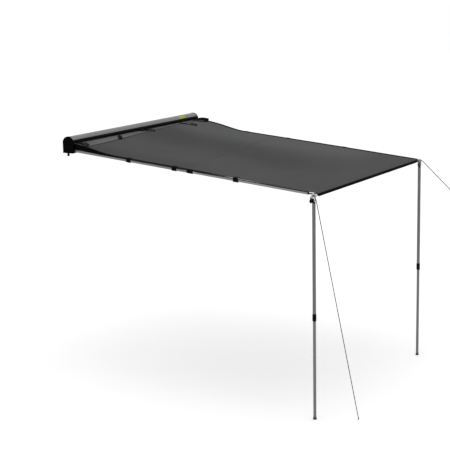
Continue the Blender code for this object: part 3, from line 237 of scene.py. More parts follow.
class Pattern(Enum):
    """Surface effects that several finishes share, each built once as a node group."""

    DIE_LINES = "Die lines"
    MOTTLE = "Mottle"
    PEBBLE = "Pebble"
    WEAVE = "Weave"
    RIBS = "Webbing ribs"
    BRAID = "Braid"
    DUST = "Dust"

    def tree(self) -> bpy.types.NodeTree:
        """The effect's node group, made when it is first asked for."""
        if self.value in bpy.data.node_groups:
            return bpy.data.node_groups[self.value]
        made = bpy.data.node_groups.new(self.value, "ShaderNodeTree")
        made.interface.new_socket("Vector", in_out="INPUT", socket_type="NodeSocketVector")
        made.interface.new_socket("Scale", in_out="INPUT", socket_type="NodeSocketFloat")
        graph = Graph(made)
        given = graph.node("NodeGroupInput")
        outputs = getattr(self, self.name.lower())(graph, given.outputs["Vector"], given.outputs["Scale"])
        for label in outputs:
            made.interface.new_socket(label, in_out="OUTPUT", socket_type="NodeSocketFloat")
        graph.node("NodeGroupOutput", outputs)
        return made

    def put(self, graph: Graph, vector: Socket, scale: float) -> dict[str, Socket]:
        """Places the effect in a material.

        Args:
            graph: the material's graph.
            vector: position on the surface, in metres.
            scale: how many times the pattern repeats in a metre.

        Returns:
            The group's outputs by name.
        """
        inputs = {"Vector": vector, "Scale": scale}
        made = graph.node("ShaderNodeGroup", inputs, node_tree=self.tree(), label=self.value)
        return {socket.name: socket for socket in made.outputs}

    @staticmethod
    def die_lines(graph: Graph, vector: Socket, scale: Socket) -> dict[str, Socket]:
        """Fine parallel lines, with a few deeper ones among them."""
        fine = graph.noise(vector, scale, 2.0)
        coarse = graph.noise(vector, graph.times(scale, 0.21), 1.0)
        lines = graph.mean(coarse, fine, 0.45)
        return {"Tone": graph.remap(lines, 0.3, 0.7), "Height": lines}

    @staticmethod
    def mottle(graph: Graph, vector: Socket, scale: Socket) -> dict[str, Socket]:
        """Soft patches, and sparse stronger stains."""
        soft = graph.noise(vector, scale, 4.0, 0.55)
        stain = graph.noise(vector, graph.times(scale, 2.7), 6.0, 0.65)
        return {"Patch": graph.remap(soft, 0.3, 0.7), "Stain": graph.remap(stain, 0.56, 0.74)}

    @staticmethod
    def pebble(graph: Graph, vector: Socket, scale: Socket) -> dict[str, Socket]:
        """Fine grain of a spark-eroded mould."""
        grain = graph.node("ShaderNodeTexVoronoi", {"Vector": vector, "Scale": scale}, feature="SMOOTH_F1")
        return {"Height": grain.outputs["Distance"]}

    @staticmethod
    def weave(graph: Graph, vector: Socket, scale: Socket) -> dict[str, Socket]:
        """Plain weave with a stronger rip-stop thread at every eighth place."""
        waves = []
        grid = []
        for along in graph.split(vector)[:2]:
            places = graph.times(along, scale)
            waves.append(graph.sine(places, 0.5))
            step = graph.math("ABSOLUTE", graph.sine(places, 0.0625))
            grid.append(graph.remap(step, 0.0, 0.16, 1.0, 0.0))
        cell = graph.scaled(graph.times(waves[0], waves[1]), 0.5, 0.5)
        thread = graph.math("MAXIMUM", grid[0], grid[1])
        return {"Height": graph.scaled(thread, 0.5, cell), "Thread": thread}

    @staticmethod
    def ribs(graph: Graph, vector: Socket, scale: Socket) -> dict[str, Socket]:
        """Chevron ribs of narrow webbing, with the point of each on its middle line."""
        u, v, _ = graph.split(vector)
        lean = graph.scaled(graph.math("ABSOLUTE", u), 0.9, v)
        wave = graph.sine(graph.times(lean, scale), 1.0)
        fine = graph.sine(graph.times(u, scale), 2.0)
        return {"Height": graph.scaled(fine, 0.25, graph.scaled(wave, 0.5, 0.5))}

    @staticmethod
    def braid(graph: Graph, vector: Socket, scale: Socket) -> dict[str, Socket]:
        """Two sets of strands that cross round a cord. U runs once round it and V along it in metres."""
        u, v, _ = graph.split(vector)
        waves = [graph.sine(graph.scaled(u, strands, graph.times(v, scale)), 1.0) for strands in (4.0, -4.0)]
        return {"Height": graph.math("MAXIMUM", *waves), "Fleck": graph.math("GREATER_THAN", waves[0], 0.6)}

    @staticmethod
    def dust(graph: Graph, vector: Socket, scale: Socket) -> dict[str, Socket]:
        """Pale dust that settles on what faces up."""
        normal = graph.node("ShaderNodeNewGeometry").outputs["Normal"]
        up = graph.remap(graph.split(normal)[2], 0.35, 1.0)
        patch = graph.remap(graph.noise(vector, scale, 5.0, 0.6), 0.42, 0.72)
        return {"Mask": graph.times(up, patch)}


# Finishes
@dataclass(frozen=True)
class Finish:
    """Surface finish of a kind of piece.

    Its main colour runs darker and lighter by the spread, its roughness by the rough spread, and its surface by the
    relief in metres.
    """

    name: str
    colour: Colour
    roughness: float
    metallic: float = 0.0
    gloss: float = 0.5
    spread: float = 0.1
    rough_spread: float = 0.1
    relief: float = 0.0001
    relief_strength: float = 0.6

    def material(self) -> bpy.types.Material:
        """The finish as a material, made when it is first asked for."""
        if self.name in bpy.data.materials:
            return bpy.data.materials[self.name]
        made = bpy.data.materials.new(self.name)
        made.use_nodes = True
        shader = made.node_tree.nodes["Principled BSDF"]
        shader.inputs["Metallic"].default_value = self.metallic
        shader.inputs["Specular IOR Level"].default_value = self.gloss
        self.dress(Graph(made.node_tree), shader)
        return made

    def tinted(self, graph: Graph, mask: Socket) -> Socket:
        """Main colour, darkest by the spread where a mask is 0 and lightest where it is 1."""
        base = linear(self.colour)[:3]
        dark = tuple(c * (1 - self.spread) for c in base)
        light = tuple(min(c * (1 + self.spread), 1.0) for c in base)
        return graph.blend(mask, (*dark, 1.0), (*light, 1.0))

    def roughened(self, graph: Graph, mask: Socket) -> Socket:
        """Roughness that grows by the rough spread from where a mask is 0 to where it is 1."""
        return graph.scaled(mask, self.rough_spread, self.roughness - self.rough_spread / 2)

    def coat(self, graph: Graph, shader: bpy.types.Node, colour: Socket, rough: Socket, height: Socket) -> None:
        """Feeds the finish's colour, roughness and relief to its shader."""
        graph.feed(shader.inputs["Base Color"], colour)
        graph.feed(shader.inputs["Roughness"], rough)
        graph.feed(shader.inputs["Normal"], graph.bump(height, self.relief, self.relief_strength))

    def dress(self, graph: Graph, shader: bpy.types.Node) -> None:
        """Adds the finish's own detail to its material."""
        raise NotImplementedError


@dataclass(frozen=True)
class Extruded(Finish):
    """Anodised or mill-finished extrusion with die lines along its length, smudges and a little dust."""

    spread: float = 0.13
    relief: float = 0.00012
    axis: Axis = Axis.Y
    fineness: float = 900.0
    smudges: float = 7.0
    dust: float = 0.10
    dust_patches: float = 16.0
    dust_colour: Colour = (168, 166, 160)

    def dress(self, graph: Graph, shader: bpy.types.Node) -> None:
        """Adds the die lines, smudges and dust."""
        place = graph.place("Object")
        lines = Pattern.DIE_LINES.put(graph, graph.place("Object", self.axis.value), self.fineness)
        smudge = Pattern.MOTTLE.put(graph, place, self.smudges)
        base = self.tinted(graph, graph.mean(smudge["Patch"], lines["Tone"], 0.35))
        settled = Pattern.DUST.put(graph, place, self.dust_patches)
        share = graph.times(settled["Mask"], self.dust)
        graph.feed(shader.inputs["Metallic"], graph.remap(share, 0.0, 0.3, self.metallic, self.metallic * 0.5))
        rough = graph.scaled(smudge["Stain"], 0.14, self.roughened(graph, lines["Tone"]))
        self.coat(graph, shader, graph.blend(share, base, linear(self.dust_colour)), rough, lines["Height"])


@dataclass(frozen=True)
class Moulded(Finish):
    """Moulded plastic or rubber with a fine mould grain, soft wear and dust."""

    spread: float = 0.22
    rough_spread: float = 0.16
    relief: float = 0.00008
    relief_strength: float = 0.7
    grain: float = 1400.0
    wear: float = 22.0
    scuff: Colour = (92, 92, 90)
    dust: float = 0.12
    dust_patches: float = 40.0
    dust_colour: Colour = (150, 147, 140)

    def dress(self, graph: Graph, shader: bpy.types.Node) -> None:
        """Adds the grain, the wear and the dust."""
        place = graph.place("Object")
        grain = Pattern.PEBBLE.put(graph, place, self.grain)
        worn = Pattern.MOTTLE.put(graph, place, self.wear)
        base = self.tinted(graph, worn["Patch"])
        scuffed = graph.blend(graph.times(worn["Stain"], 0.18), base, linear(self.scuff))
        settled = Pattern.DUST.put(graph, place, self.dust_patches)
        dusty = graph.blend(graph.times(settled["Mask"], self.dust), scuffed, linear(self.dust_colour))
        self.coat(graph, shader, dusty, self.roughened(graph, worn["Patch"]), grain["Height"])


@dataclass(frozen=True)
class Cast(Finish):
    """Tumbled casting or plated steel: a fine orange-peel skin with brighter rubbed places."""

    spread: float = 0.16
    rough_spread: float = -0.14
    relief: float = 0.00015
    skin: float = 420.0
    rubbing: float = 34.0

    def dress(self, graph: Graph, shader: bpy.types.Node) -> None:
        """Adds the skin and the rubbed places."""
        place = graph.place("Object")
        rubbed = Pattern.MOTTLE.put(graph, place, self.rubbing)
        skin = graph.noise(place, self.skin, 3.0, 0.6)
        rough = graph.scaled(rubbed["Stain"], 0.16, self.roughened(graph, rubbed["Patch"]))
        self.coat(graph, shader, self.tinted(graph, rubbed["Patch"]), rough, skin)


@dataclass(frozen=True)
class Webbing(Finish):
    """Woven webbing or hook-and-loop tape. U and V are metres across and along it."""

    spread: float = 0.35
    relief: float = 0.0004
    relief_strength: float = 0.8
    pitch: float = 450.0
    wear: float = 26.0
    fibres: float = 2600.0
    fuzz: float = 0.25
    lint: Colour = (96, 96, 94)
    sheen: float = 0.04
    sheen_roughness: float = 0.5

    def dress(self, graph: Graph, shader: bpy.types.Node) -> None:
        """Adds the ribs, loose fibres and sheen."""
        flat = graph.place("UV")
        ribs = Pattern.RIBS.put(graph, flat, self.pitch)
        worn = Pattern.MOTTLE.put(graph, graph.place("Object"), self.wear)
        fibre = graph.noise(flat, self.fibres, 2.0, 0.7)
        base = self.tinted(graph, graph.mean(ribs["Height"], worn["Patch"], 0.5))
        loose = graph.times(graph.remap(fibre, 0.6, 0.8), self.fuzz)
        self.coat(graph, shader, graph.blend(loose, base, linear(self.lint)), self.roughened(graph, fibre),
                  ribs["Height"])
        shader.inputs["Sheen Weight"].default_value = self.sheen
        shader.inputs["Sheen Roughness"].default_value = self.sheen_roughness


@dataclass(frozen=True)
class Braided(Finish):
    """Braided cord. U runs round it and V along it in metres."""

    spread: float = 0.2
    relief: float = 0.0006
    relief_strength: float = 0.9
    strands: float = 170.0
    wear: float = 30.0
    fleck: Colour = (78, 79, 76)

    def dress(self, graph: Graph, shader: bpy.types.Node) -> None:
        """Adds the strands and their tracer fleck."""
        braid = Pattern.BRAID.put(graph, graph.place("UV"), self.strands)
        worn = Pattern.MOTTLE.put(graph, graph.place("Object"), self.wear)
        flecked = graph.blend(graph.times(braid["Fleck"], 0.3), self.tinted(graph, worn["Patch"]), linear(self.fleck))
        self.coat(graph, shader, flecked, self.roughened(graph, worn["Patch"]), braid["Height"])


@dataclass(frozen=True)
class CanopyCloth(Finish):
    """Coated rip-stop cloth. U and V are metres across and along it, and three masks are painted as attributes."""

    spread: float = 0.09
    relief: float = 0.00022
    threads: float = 620.0
    clouding: float = 2.1
    marks: float = 19.0
    # Paler strip beside the case; the painted light towards the far side is mixed towards this colour too.
    strip: Colour = (113, 115, 114)
    thread: Colour = (58, 59, 58)
    # Colour of the painted shade in the crease, beside the seam and across the middle, and of the darker seam tape.
    fold: Colour = (50, 51, 50)
    # Black of the bindings, also used as painted shade under the near hem and round the pocket's underside.
    binding: Colour = (3, 3, 4)

    def dress(self, graph: Graph, shader: bpy.types.Node) -> None:
        """Adds the weave, the paler strip beside the case with painted light on the far side, the black bindings with
        painted shade, and painted shade in the crease, beside the seam and across the middle.
        """
        flat = graph.place("UV")
        weave = Pattern.WEAVE.put(graph, flat, self.threads)
        soft = Pattern.MOTTLE.put(graph, flat, self.clouding)
        fine = Pattern.MOTTLE.put(graph, flat, self.marks)
        base = self.tinted(graph, graph.mean(fine["Patch"], soft["Patch"], 0.35))
        strip, binding, fold = (graph.node("ShaderNodeAttribute", attribute_name=name).outputs["Fac"]
                                for name in CLOTH_MASKS)
        paler_and_painted_light = graph.blend(strip, base, linear(self.strip))
        woven = graph.blend(graph.times(weave["Thread"], 0.08), paler_and_painted_light, linear(self.thread))
        # Painted shade, and the darker seam tape, from the fold mask.
        folded = graph.blend(graph.times(fold, 0.6), woven, linear(self.fold))
        bound_and_painted_shade = graph.blend(binding, folded, linear(self.binding))
        self.coat(graph, shader, bound_and_painted_shade, self.roughened(graph, fine["Patch"]), weave["Height"])


@dataclass(frozen=True)
class Printed(Finish):
    """Reflective film patch with a faint honeycomb under its face."""

    spread: float = 0.06
    relief: float = 0.00005
    relief_strength: float = 0.4
    cells: float = 320.0
    fading: float = 60.0
    edge: Colour = (120, 126, 60)

    def dress(self, graph: Graph, shader: bpy.types.Node) -> None:
        """Adds the honeycomb and a little fading."""
        place = graph.place("Object")
        comb = graph.node("ShaderNodeTexVoronoi", {"Vector": place, "Scale": self.cells}, feature="DISTANCE_TO_EDGE")
        edge = graph.remap(comb.outputs["Distance"], 0.0, 0.08, 1.0, 0.0)
        faded = Pattern.MOTTLE.put(graph, place, self.fading)
        printed = graph.blend(graph.times(edge, 0.25), self.tinted(graph, faded["Patch"]), linear(self.edge))
        self.coat(graph, shader, printed, self.roughened(graph, faded["Patch"]), edge)


HOOD_METAL = Extruded("hood_metal", (121, 123, 122), 0.42, 0.4)
CASE_METAL = Extruded("case_metal", (98, 100, 100), 0.40, 0.9, dust=0.06)
RAIL_METAL = Extruded("rail_metal", (150, 151, 150), 0.34, 0.95)
ARM_METAL = Extruded("arm_tube_metal", (126, 128, 126), 0.38, 0.85, axis=Axis.X)
ARM_INNER_METAL = Extruded("arm_inner_tube_metal", (138, 139, 137), 0.33, 0.9, axis=Axis.X)
LEG_METAL = Extruded("leg_tube_metal", (107, 110, 106), 0.42, 0.8, axis=Axis.Z, dust=0.0)
LEG_INNER_METAL = Extruded("leg_inner_tube_metal", (112, 115, 111), 0.38, 0.85, axis=Axis.Z, dust=0.0)
CAP_PLASTIC = Moulded("cap_plastic_grained", (3, 3, 3), 0.6, gloss=0.02, dust=0.01)
FITTING_NYLON = Moulded("fitting_nylon", (11, 11, 12), 0.5, gloss=0.15, dust=0.06)
LOCK_NYLON = Moulded("lock_nylon_grained", (4, 4, 5), 0.5, gloss=0.06, grain=1900.0, dust=0.03)
BUCKLE_NYLON = Moulded("buckle_nylon", (10, 10, 11), 0.4, gloss=0.2, relief=0.00004, dust=0.06)
STOPPER_RUBBER = Moulded("stopper_rubber_skin", (5, 5, 6), 0.5, gloss=0.08, relief=0.00003, dust=0.03)
SEAL_RUBBER = Moulded("seal_rubber_skin", (8, 8, 8), 0.7, gloss=0.07, relief=0.00003)
FOOT_RUBBER = Moulded("foot_rubber_skin", (78, 80, 77), 0.8, gloss=0.15, grain=900.0)
CORNER_METAL = Cast("corner_metal", (204, 206, 205), 0.34, 0.85)
# Same casting as the near bracket, darker as painted shade on the far bracket.
SHADED_METAL = Cast("corner_metal_painted_shade", (128, 130, 128), 0.5, 0.5, gloss=0.3)
BRACKET_STEEL = Cast("bracket_steel_coat", (32, 33, 34), 0.45, 0.35)
BOLT_STEEL = Cast("bolt_steel_plate", (40, 40, 41), 0.36, 0.9)
TIE_WEBBING = Webbing("tie_webbing", (10, 10, 11), 0.88, gloss=0.1)
HOOK_TAPE = Webbing("hook_tape_pile", (11, 11, 12), 0.94, gloss=0.05, pitch=700.0, fuzz=0.3)
GUY_CORD = Braided("guy_cord", (22, 23, 22), 0.85, gloss=0.12)
CLOTH = CanopyCloth("canopy_cloth_coated", (85, 86, 85), 0.9, gloss=0.06)
STITCH_THREAD = Webbing("stitch_thread", (44, 44, 45), 0.8, gloss=0.2, pitch=2400.0)
PATCH_FILM = Printed("patch_film", (182, 191, 54), 0.5, gloss=0.2)

CAD_FINISHES: dict[str, Finish] = {
    "case_back_profile": CASE_METAL,
    "case_hood": HOOD_METAL,
    "end_cap": CAP_PLASTIC,
    "hinge_bracket": BRACKET_STEEL,
    "pivot_bolt": BOLT_STEEL,
    "front_rail": RAIL_METAL,
    "near_corner_bracket": CORNER_METAL,
    "far_corner_bracket": SHADED_METAL,
    "leg_pin": BOLT_STEEL,
    "buckle": BUCKLE_NYLON,
    "rope_stopper": STOPPER_RUBBER,
    "rope_runner": BUCKLE_NYLON,
    "rope_loop": GUY_CORD,
    "arm_knuckle": FITTING_NYLON,
    "arm_outer_tube": ARM_METAL,
    "arm_inner_tube": ARM_INNER_METAL,
    "arm_hook": FITTING_NYLON,
    "collet": FITTING_NYLON,
    "lock_nut": LOCK_NYLON,
    "leg_head": FITTING_NYLON,
    "leg_upper_tube": LEG_METAL,
    "leg_lower_tube": LEG_INNER_METAL,
    "leg_foot": FOOT_RUBBER,
}


def dress_cad_nodes() -> None:
    """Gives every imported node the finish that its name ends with."""
    for name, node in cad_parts.items():
        found = [finish for ending, finish in CAD_FINISHES.items() if name.endswith(ending)]
        if not found:
            continue
        node.data.materials.clear()
        node.data.materials.append(found[0].material())
        LOG.info("%s takes the finish %s", name, found[0].name)


# Mesh tools
def shown(name: str, bm: bmesh.types.BMesh, finish: Finish,
          sharp_degrees: float = 35.0) -> bpy.types.Object:
    """Makes a finished piece that rides on the case.

    Args:
        name: the piece's name.
        bm: its mesh, which is freed.
        finish: its finish.
        sharp_degrees: faces that meet at more than this keep a sharp edge.

    Returns:
        The new object, at the origin.
    """
    mesh = bpy.data.meshes.new(name)
    bm.to_mesh(mesh)
    bm.free()
    mesh.shade_smooth()
    mesh.set_sharp_from_angle(angle=math.radians(sharp_degrees))
    mesh.materials.append(finish.material())
    made = bpy.data.objects.new(name, mesh)
    bpy.context.scene.collection.objects.link(made)
    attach(made, ROOT_BODY)
    LOG.info("%s: %d faces on %s", name, len(mesh.polygons), ROOT_BODY)
    return made


def walled(sheet: bpy.types.Object, thickness: float, offset: float = 0.0) -> bpy.types.Object:
    """Gives an open sheet its thickness, half of it on each side unless the offset moves it to one."""
    wall = sheet.modifiers.new("Thickness", "SOLIDIFY")
    wall.thickness = thickness
    wall.offset = offset
    return sheet


def painted(bm: bmesh.types.BMesh, masks: Callable[[Vector], Masks]) -> bmesh.types.BMesh:
    """Mesh with the masks that the cloth's finish reads.

    Args:
        bm: the mesh that takes them.
        masks: gives the strip mask, which carries painted light too, and the black and fold masks, which carry
            painted shade, at a point.

    Returns:
        The same mesh.
    """
    layers = [bm.verts.layers.float.new(name) for name in CLOTH_MASKS]
    for vert in bm.verts:
        for layer, value in zip(layers, masks(vert.co)):
            vert[layer] = value
    return bm


def mapped_grid(across: int, along: int, size: tuple[float, float],
                spot: Callable[[float, float], Vector]) -> bmesh.types.BMesh:
    """Grid whose points are carried to a surface, with a UV map in metres.

    Args:
        across: faces from side to side.
        along: faces from end to end.
        size: what the full U and V stand for, in metres.
        spot: gives the place of a point from its shares across and along, each from 0 to 1.

    Returns:
        The open grid.
    """
    bm = bmesh.new()
    layer = bm.loops.layers.uv.new("UVMap")
    bmesh.ops.create_grid(bm, x_segments=across, y_segments=along, size=0.5)
    for face in bm.faces:
        for corner in face.loops:
            corner[layer].uv = (corner.vert.co.x * size[0], (corner.vert.co.y + 0.5) * size[1])
    for vert in bm.verts:
        vert.co = spot(vert.co.x + 0.5, vert.co.y + 0.5)
    return bm


def smooth_route(points: Sequence[Sequence[float]], steps: int) -> list[Vector]:
    """Catmull-Rom curve through points.

    Args:
        points: the points it goes through.
        steps: how many stretches it has between each two.

    Returns:
        The curve's points, both ends included.
    """
    given = [Vector(p) for p in points]
    padded = [2 * given[0] - given[1], *given, 2 * given[-1] - given[-2]]
    made = []
    for a, b, c, d in zip(padded, padded[1:], padded[2:], padded[3:]):
        for i in range(steps):
            t = i / steps
            made.append(0.5 * (2 * b + (c - a) * t + (2 * a - 5 * b + 4 * c - d) * t**2
                               + (3 * b - a - 3 * c + d) * t**3))
    return [*made, given[-1]]


class Track:
    """Path that can be read at any share of its length, with an upright frame that doesn't spin."""

    def __init__(self, path: Sequence[Vector]) -> None:
        """Measures the path and carries the frame along it."""
        up = Vector((0, 0, 1))
        self.path = list(path)
        self.lengths = [0.0]
        for a, b in zip(self.path, self.path[1:]):
            self.lengths.append(self.lengths[-1] + (b - a).length)
        self.ups = []
        for i in range(len(self.path)):
            along = self.heading(i)
            up = (up - along * up.dot(along)).normalized()
            self.ups.append(up)

    @property
    def total(self) -> float:
        """Length of the whole path."""
        return self.lengths[-1]

    def heading(self, i: int) -> Vector:
        """Direction of the path at one of its points."""
        return (self.path[min(i + 1, len(self.path) - 1)] - self.path[max(i - 1, 0)]).normalized()

    def at(self, share: float) -> tuple[Vector, Vector, Vector]:
        """Reads the path.

        Args:
            share: from 0 at its start to 1 at its end.

        Returns:
            The place, the direction along the path, and the direction up from it.
        """
        reach = min(max(share, 0.0), 1.0) * self.total
        i = 0
        while i < len(self.lengths) - 2 and self.lengths[i + 1] < reach:
            i += 1
        t = (reach - self.lengths[i]) / max(self.lengths[i + 1] - self.lengths[i], 1e-9)
        along = self.heading(i).lerp(self.heading(i + 1), t).normalized()
        up = self.ups[i].lerp(self.ups[i + 1], t)
        return self.path[i].lerp(self.path[i + 1], t), along, (up - along * up.dot(along)).normalized()


def round_cord(path: Sequence[Vector], radius: float, sides: int = 12, step: float = 0.006) -> bmesh.types.BMesh:
    """Closed round tube along a path, with U once round it and V in metres along it.

    Args:
        path: its centreline.
        radius: its radius.
        sides: how many faces go round it.
        step: the length of a face along it.

    Returns:
        The tube.
    """
    track = Track(path)
    rows = max(int(track.total / step), 4)

    def spot(u: float, v: float) -> Vector:
        """Place on the tube's skin."""
        centre, along, up = track.at(v)
        turn = u * math.tau
        return centre + radius * (math.cos(turn) * up + math.sin(turn) * along.cross(up))

    return sealed(mapped_grid(sides, rows, (1.0, track.total), spot))


def sealed(bm: bmesh.types.BMesh) -> bmesh.types.BMesh:
    """Mesh with its seam welded, its open ends filled and its faces pointing out."""
    bmesh.ops.remove_doubles(bm, verts=bm.verts, dist=1e-6)
    rims = [edge for edge in bm.edges if edge.is_boundary]
    if rims:
        bmesh.ops.holes_fill(bm, edges=rims, sides=0)
    bmesh.ops.recalc_face_normals(bm, faces=bm.faces)
    return bm


def band(path: Sequence[Vector], sides: Sequence[Vector], width: float, thickness: float, cells: int = 6,
         step: float = 0.004) -> bmesh.types.BMesh:
    """Flat webbing with rounded selvedges along a path.

    Args:
        path: its middle line.
        sides: the direction of its width at each point of the path.
        width: its width.
        thickness: its thickness.
        cells: how many faces go across it.
        step: the length of a face along it.

    Returns:
        The closed band, with U and V in metres across and along it.
    """
    track = Track(path)
    rows = max(int(track.total / step), 4)
    turned = [Vector(s).normalized() for s in sides]
    rim = 2 * (cells + 2)

    def squared(wave: float) -> float:
        """Sine or cosine drawn out towards 1, so that the section becomes a flat oval."""
        return math.copysign(abs(wave) ** 0.35, wave)

    def spot(u: float, v: float) -> Vector:
        """Place on the band's skin."""
        centre, along, _ = track.at(v)
        reach = v * (len(turned) - 1)
        i = min(int(reach), len(turned) - 2)
        side = turned[i].lerp(turned[i + 1], reach - i)
        side = (side - along * side.dot(along)).normalized()
        turn = u * math.tau
        return (centre + side * squared(math.cos(turn)) * width / 2
                + side.cross(along) * squared(math.sin(turn)) * thickness / 2)

    return sealed(mapped_grid(rim, rows, (width * 2, track.total), spot))


def stitches(bm: bmesh.types.BMesh, path: Sequence[Vector], up: Callable[[Vector], Vector], pitch: float = 0.0055,
             length: float = 0.0040, width: float = 0.0008) -> None:
    """Adds a row of lock stitches along a path.

    Args:
        bm: the mesh that takes them.
        path: the row's line, on the cloth's surface.
        up: gives the cloth's outward direction at a point.
        pitch: the distance from one stitch to the next.
        length: the length of thread that shows.
        width: the thread's width.
    """
    track = Track(path)
    count = int(track.total / pitch)
    proud, sunk = 0.2, 0.35
    for i in range(count):
        centre, along, _ = track.at((i + 0.5) / count)
        rise = up(centre)
        side = along.cross(rise).normalized()
        turn = Matrix((along, side, side.cross(along) * -1)).transposed().to_4x4()
        shape = Matrix.Diagonal((length, width, width * 0.8, 1.0))
        place = Matrix.Translation(centre + rise * width * proud) @ turn @ shape
        for vert in bmesh.ops.create_cube(bm, size=1.0, matrix=place)["verts"]:
            if abs((vert.co - centre).dot(along)) > length * 0.45:
                vert.co -= rise * width * sunk


# Camera, floor and light
@dataclass
class Studio:
    """Plain pale floor, soft light, and the camera at the photograph's angle."""

    eye: tuple[float, float, float] = (7.0525, -9.5913, 1.49)
    heading: float = 122.0603
    pitch: float = -11.5178
    roll: float = -1.1226
    lens: float = 100.2624
    sensor: float = 36.0
    sight: float = 200.0
    floor_half: float = 40.0
    floor_gap: float = 0.001
    floor_glow: float = 0.44
    horizon_strength: float = 0.24
    zenith_strength: float = 0.74
    zenith_from: float = 0.75
    lamp_place: tuple[float, float, float] = (2.5, -1.0, 6.0)
    lamp_target: tuple[float, float, float] = (1.2, 0.0, -0.2)
    lamp_size: float = 4.0
    lamp_power: float = 68.0

    def build(self) -> None:
        """Makes the camera, the floor, the dome and the lamp."""
        self.camera()
        self.floor()
        self.dome()
        self.lamp()
        bpy.context.scene.view_settings.view_transform = "Standard"

    def camera(self) -> None:
        """Camera at the given place, heading, pitch, roll and lens."""
        data = bpy.data.cameras.new("photo_camera")
        data.lens = self.lens
        data.sensor_width = self.sensor
        data.clip_end = self.sight
        made = bpy.data.objects.new("photo_camera", data)
        bpy.context.scene.collection.objects.link(made)
        yaw, pitch, roll = (math.radians(a) for a in (self.heading, self.pitch, self.roll))
        ahead = Vector((math.cos(pitch) * math.cos(yaw), math.cos(pitch) * math.sin(yaw), math.sin(pitch)))
        level = Vector((math.sin(yaw), -math.cos(yaw), 0.0))
        up = level.cross(ahead)
        right = math.cos(roll) * level + math.sin(roll) * up
        top = -math.sin(roll) * level + math.cos(roll) * up
        turn = Matrix((right, top, -ahead)).transposed().to_4x4()
        made.matrix_world = Matrix.Translation(self.eye) @ turn
        bpy.context.scene.camera = made

    def floor(self) -> None:
        """Wide pale floor just under the feet."""
        bm = bmesh.new()
        bmesh.ops.create_grid(bm, x_segments=1, y_segments=1, size=self.floor_half)
        mesh = bpy.data.meshes.new("floor")
        bm.to_mesh(mesh)
        bm.free()
        made = bpy.data.objects.new("floor", mesh)
        made.location = (0.0, 0.0, PLAN.ground_z - self.floor_gap)
        bpy.context.scene.collection.objects.link(made)
        coat = bpy.data.materials.new("pale_floor")
        coat.use_nodes = True
        graph = Graph(coat.node_tree)
        shader = coat.node_tree.nodes["Principled BSDF"]
        for name, value in {"Base Color": (0.92, 0.92, 0.92, 1.0), "Roughness": 0.9, "Specular IOR Level": 0.1,
                            "Emission Color": (1.0, 1.0, 1.0, 1.0),
                            "Emission Strength": graph.times(self.seen(graph), self.floor_glow)}.items():
            graph.feed(shader.inputs[name], value)
        mesh.materials.append(coat)

    @staticmethod
    def seen(graph: Graph) -> Socket:
        """1 for rays that look at a surface, straight or by way of metal or glass, and 0 for those that light one."""
        path = graph.node("ShaderNodeLightPath")
        straight, mirrored, through = (path.outputs[f"Is {kind} Ray"]
                                       for kind in ("Camera", "Glossy", "Transmission"))
        return graph.math("MAXIMUM", graph.math("MAXIMUM", straight, mirrored), through)

    def dome(self) -> None:
        """World that lights softly from above, and is white behind the object."""
        world = bpy.data.worlds.new("studio")
        bpy.context.scene.world = world
        world.use_nodes = True
        graph = Graph(world.node_tree)
        world.node_tree.nodes.clear()
        height = graph.split(graph.node("ShaderNodeTexCoord").outputs["Generated"])[2]
        strength = graph.remap(height, 0.0, self.zenith_from, self.horizon_strength, self.zenith_strength)
        light, backdrop = (graph.node("ShaderNodeBackground", {"Color": (1.0, 1.0, 1.0, 1.0), "Strength": value})
                           for value in (strength, 1.0))
        mixed = graph.node("ShaderNodeMixShader", {0: self.seen(graph), 1: light.outputs[0], 2: backdrop.outputs[0]})
        graph.node("ShaderNodeOutputWorld", {"Surface": mixed.outputs[0]})

    def lamp(self) -> None:
        """Soft square lamp above the canopy."""
        data = bpy.data.lights.new("key", "AREA")
        data.size = self.lamp_size
        data.energy = self.lamp_power
        made = bpy.data.objects.new("key", data)
        aim = Vector(self.lamp_target) - Vector(self.lamp_place)
        turn = aim.to_track_quat("-Z", "Y").to_matrix().to_4x4()
        made.matrix_world = Matrix.Translation(self.lamp_place) @ turn
        bpy.context.scene.collection.objects.link(made)


# Ropes
@dataclass
class GuyRope:
    """One taut rope from its stopper behind the corner's eye, with what is on it."""

    end: End
    route: Sequence[tuple[float, float, float]]
    far_end: str
    on_it: Sequence[str]
    radius: float = 0.0030
    knot_radius: float = 0.0058
    knot_back: float = 0.010
    knot_rise: float = 0.0035

    def build(self) -> bpy.types.Object:
        path = smooth_route(self.route, 3)
        name = f"{self.end.label}_guy_rope"
        rope = shown(f"{name}_braided", round_cord(path, self.radius), GUY_CORD)
        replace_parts(rope, name)
        pieces = [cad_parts[node] for node in self.on_it]
        if self.far_end == "knot":
            pieces.append(self.knot(path))
        return rope

    def knot(self, path: Sequence[Vector]) -> bpy.types.Object:
        """Overhand knot at the rope's end, as one turn of rope drawn up tight round itself."""
        along = (path[-1] - path[-4]).normalized()
        side = along.orthogonal().normalized()
        over = along.cross(side)
        centre = path[-1] - along * self.knot_back
        wide = self.knot_radius - self.radius * 0.6
        turns = [centre + wide * (math.cos(t) * side + math.sin(t) * over)
                 + along * (self.knot_rise * math.sin(t * 0.5 + 0.4)) for t in (math.tau * i / 14 for i in range(15))]
        bm = round_cord(turns, self.radius * 0.9, 10, 0.0015)
        return shown(f"{self.end.label}_rope_knot", bm, GUY_CORD)


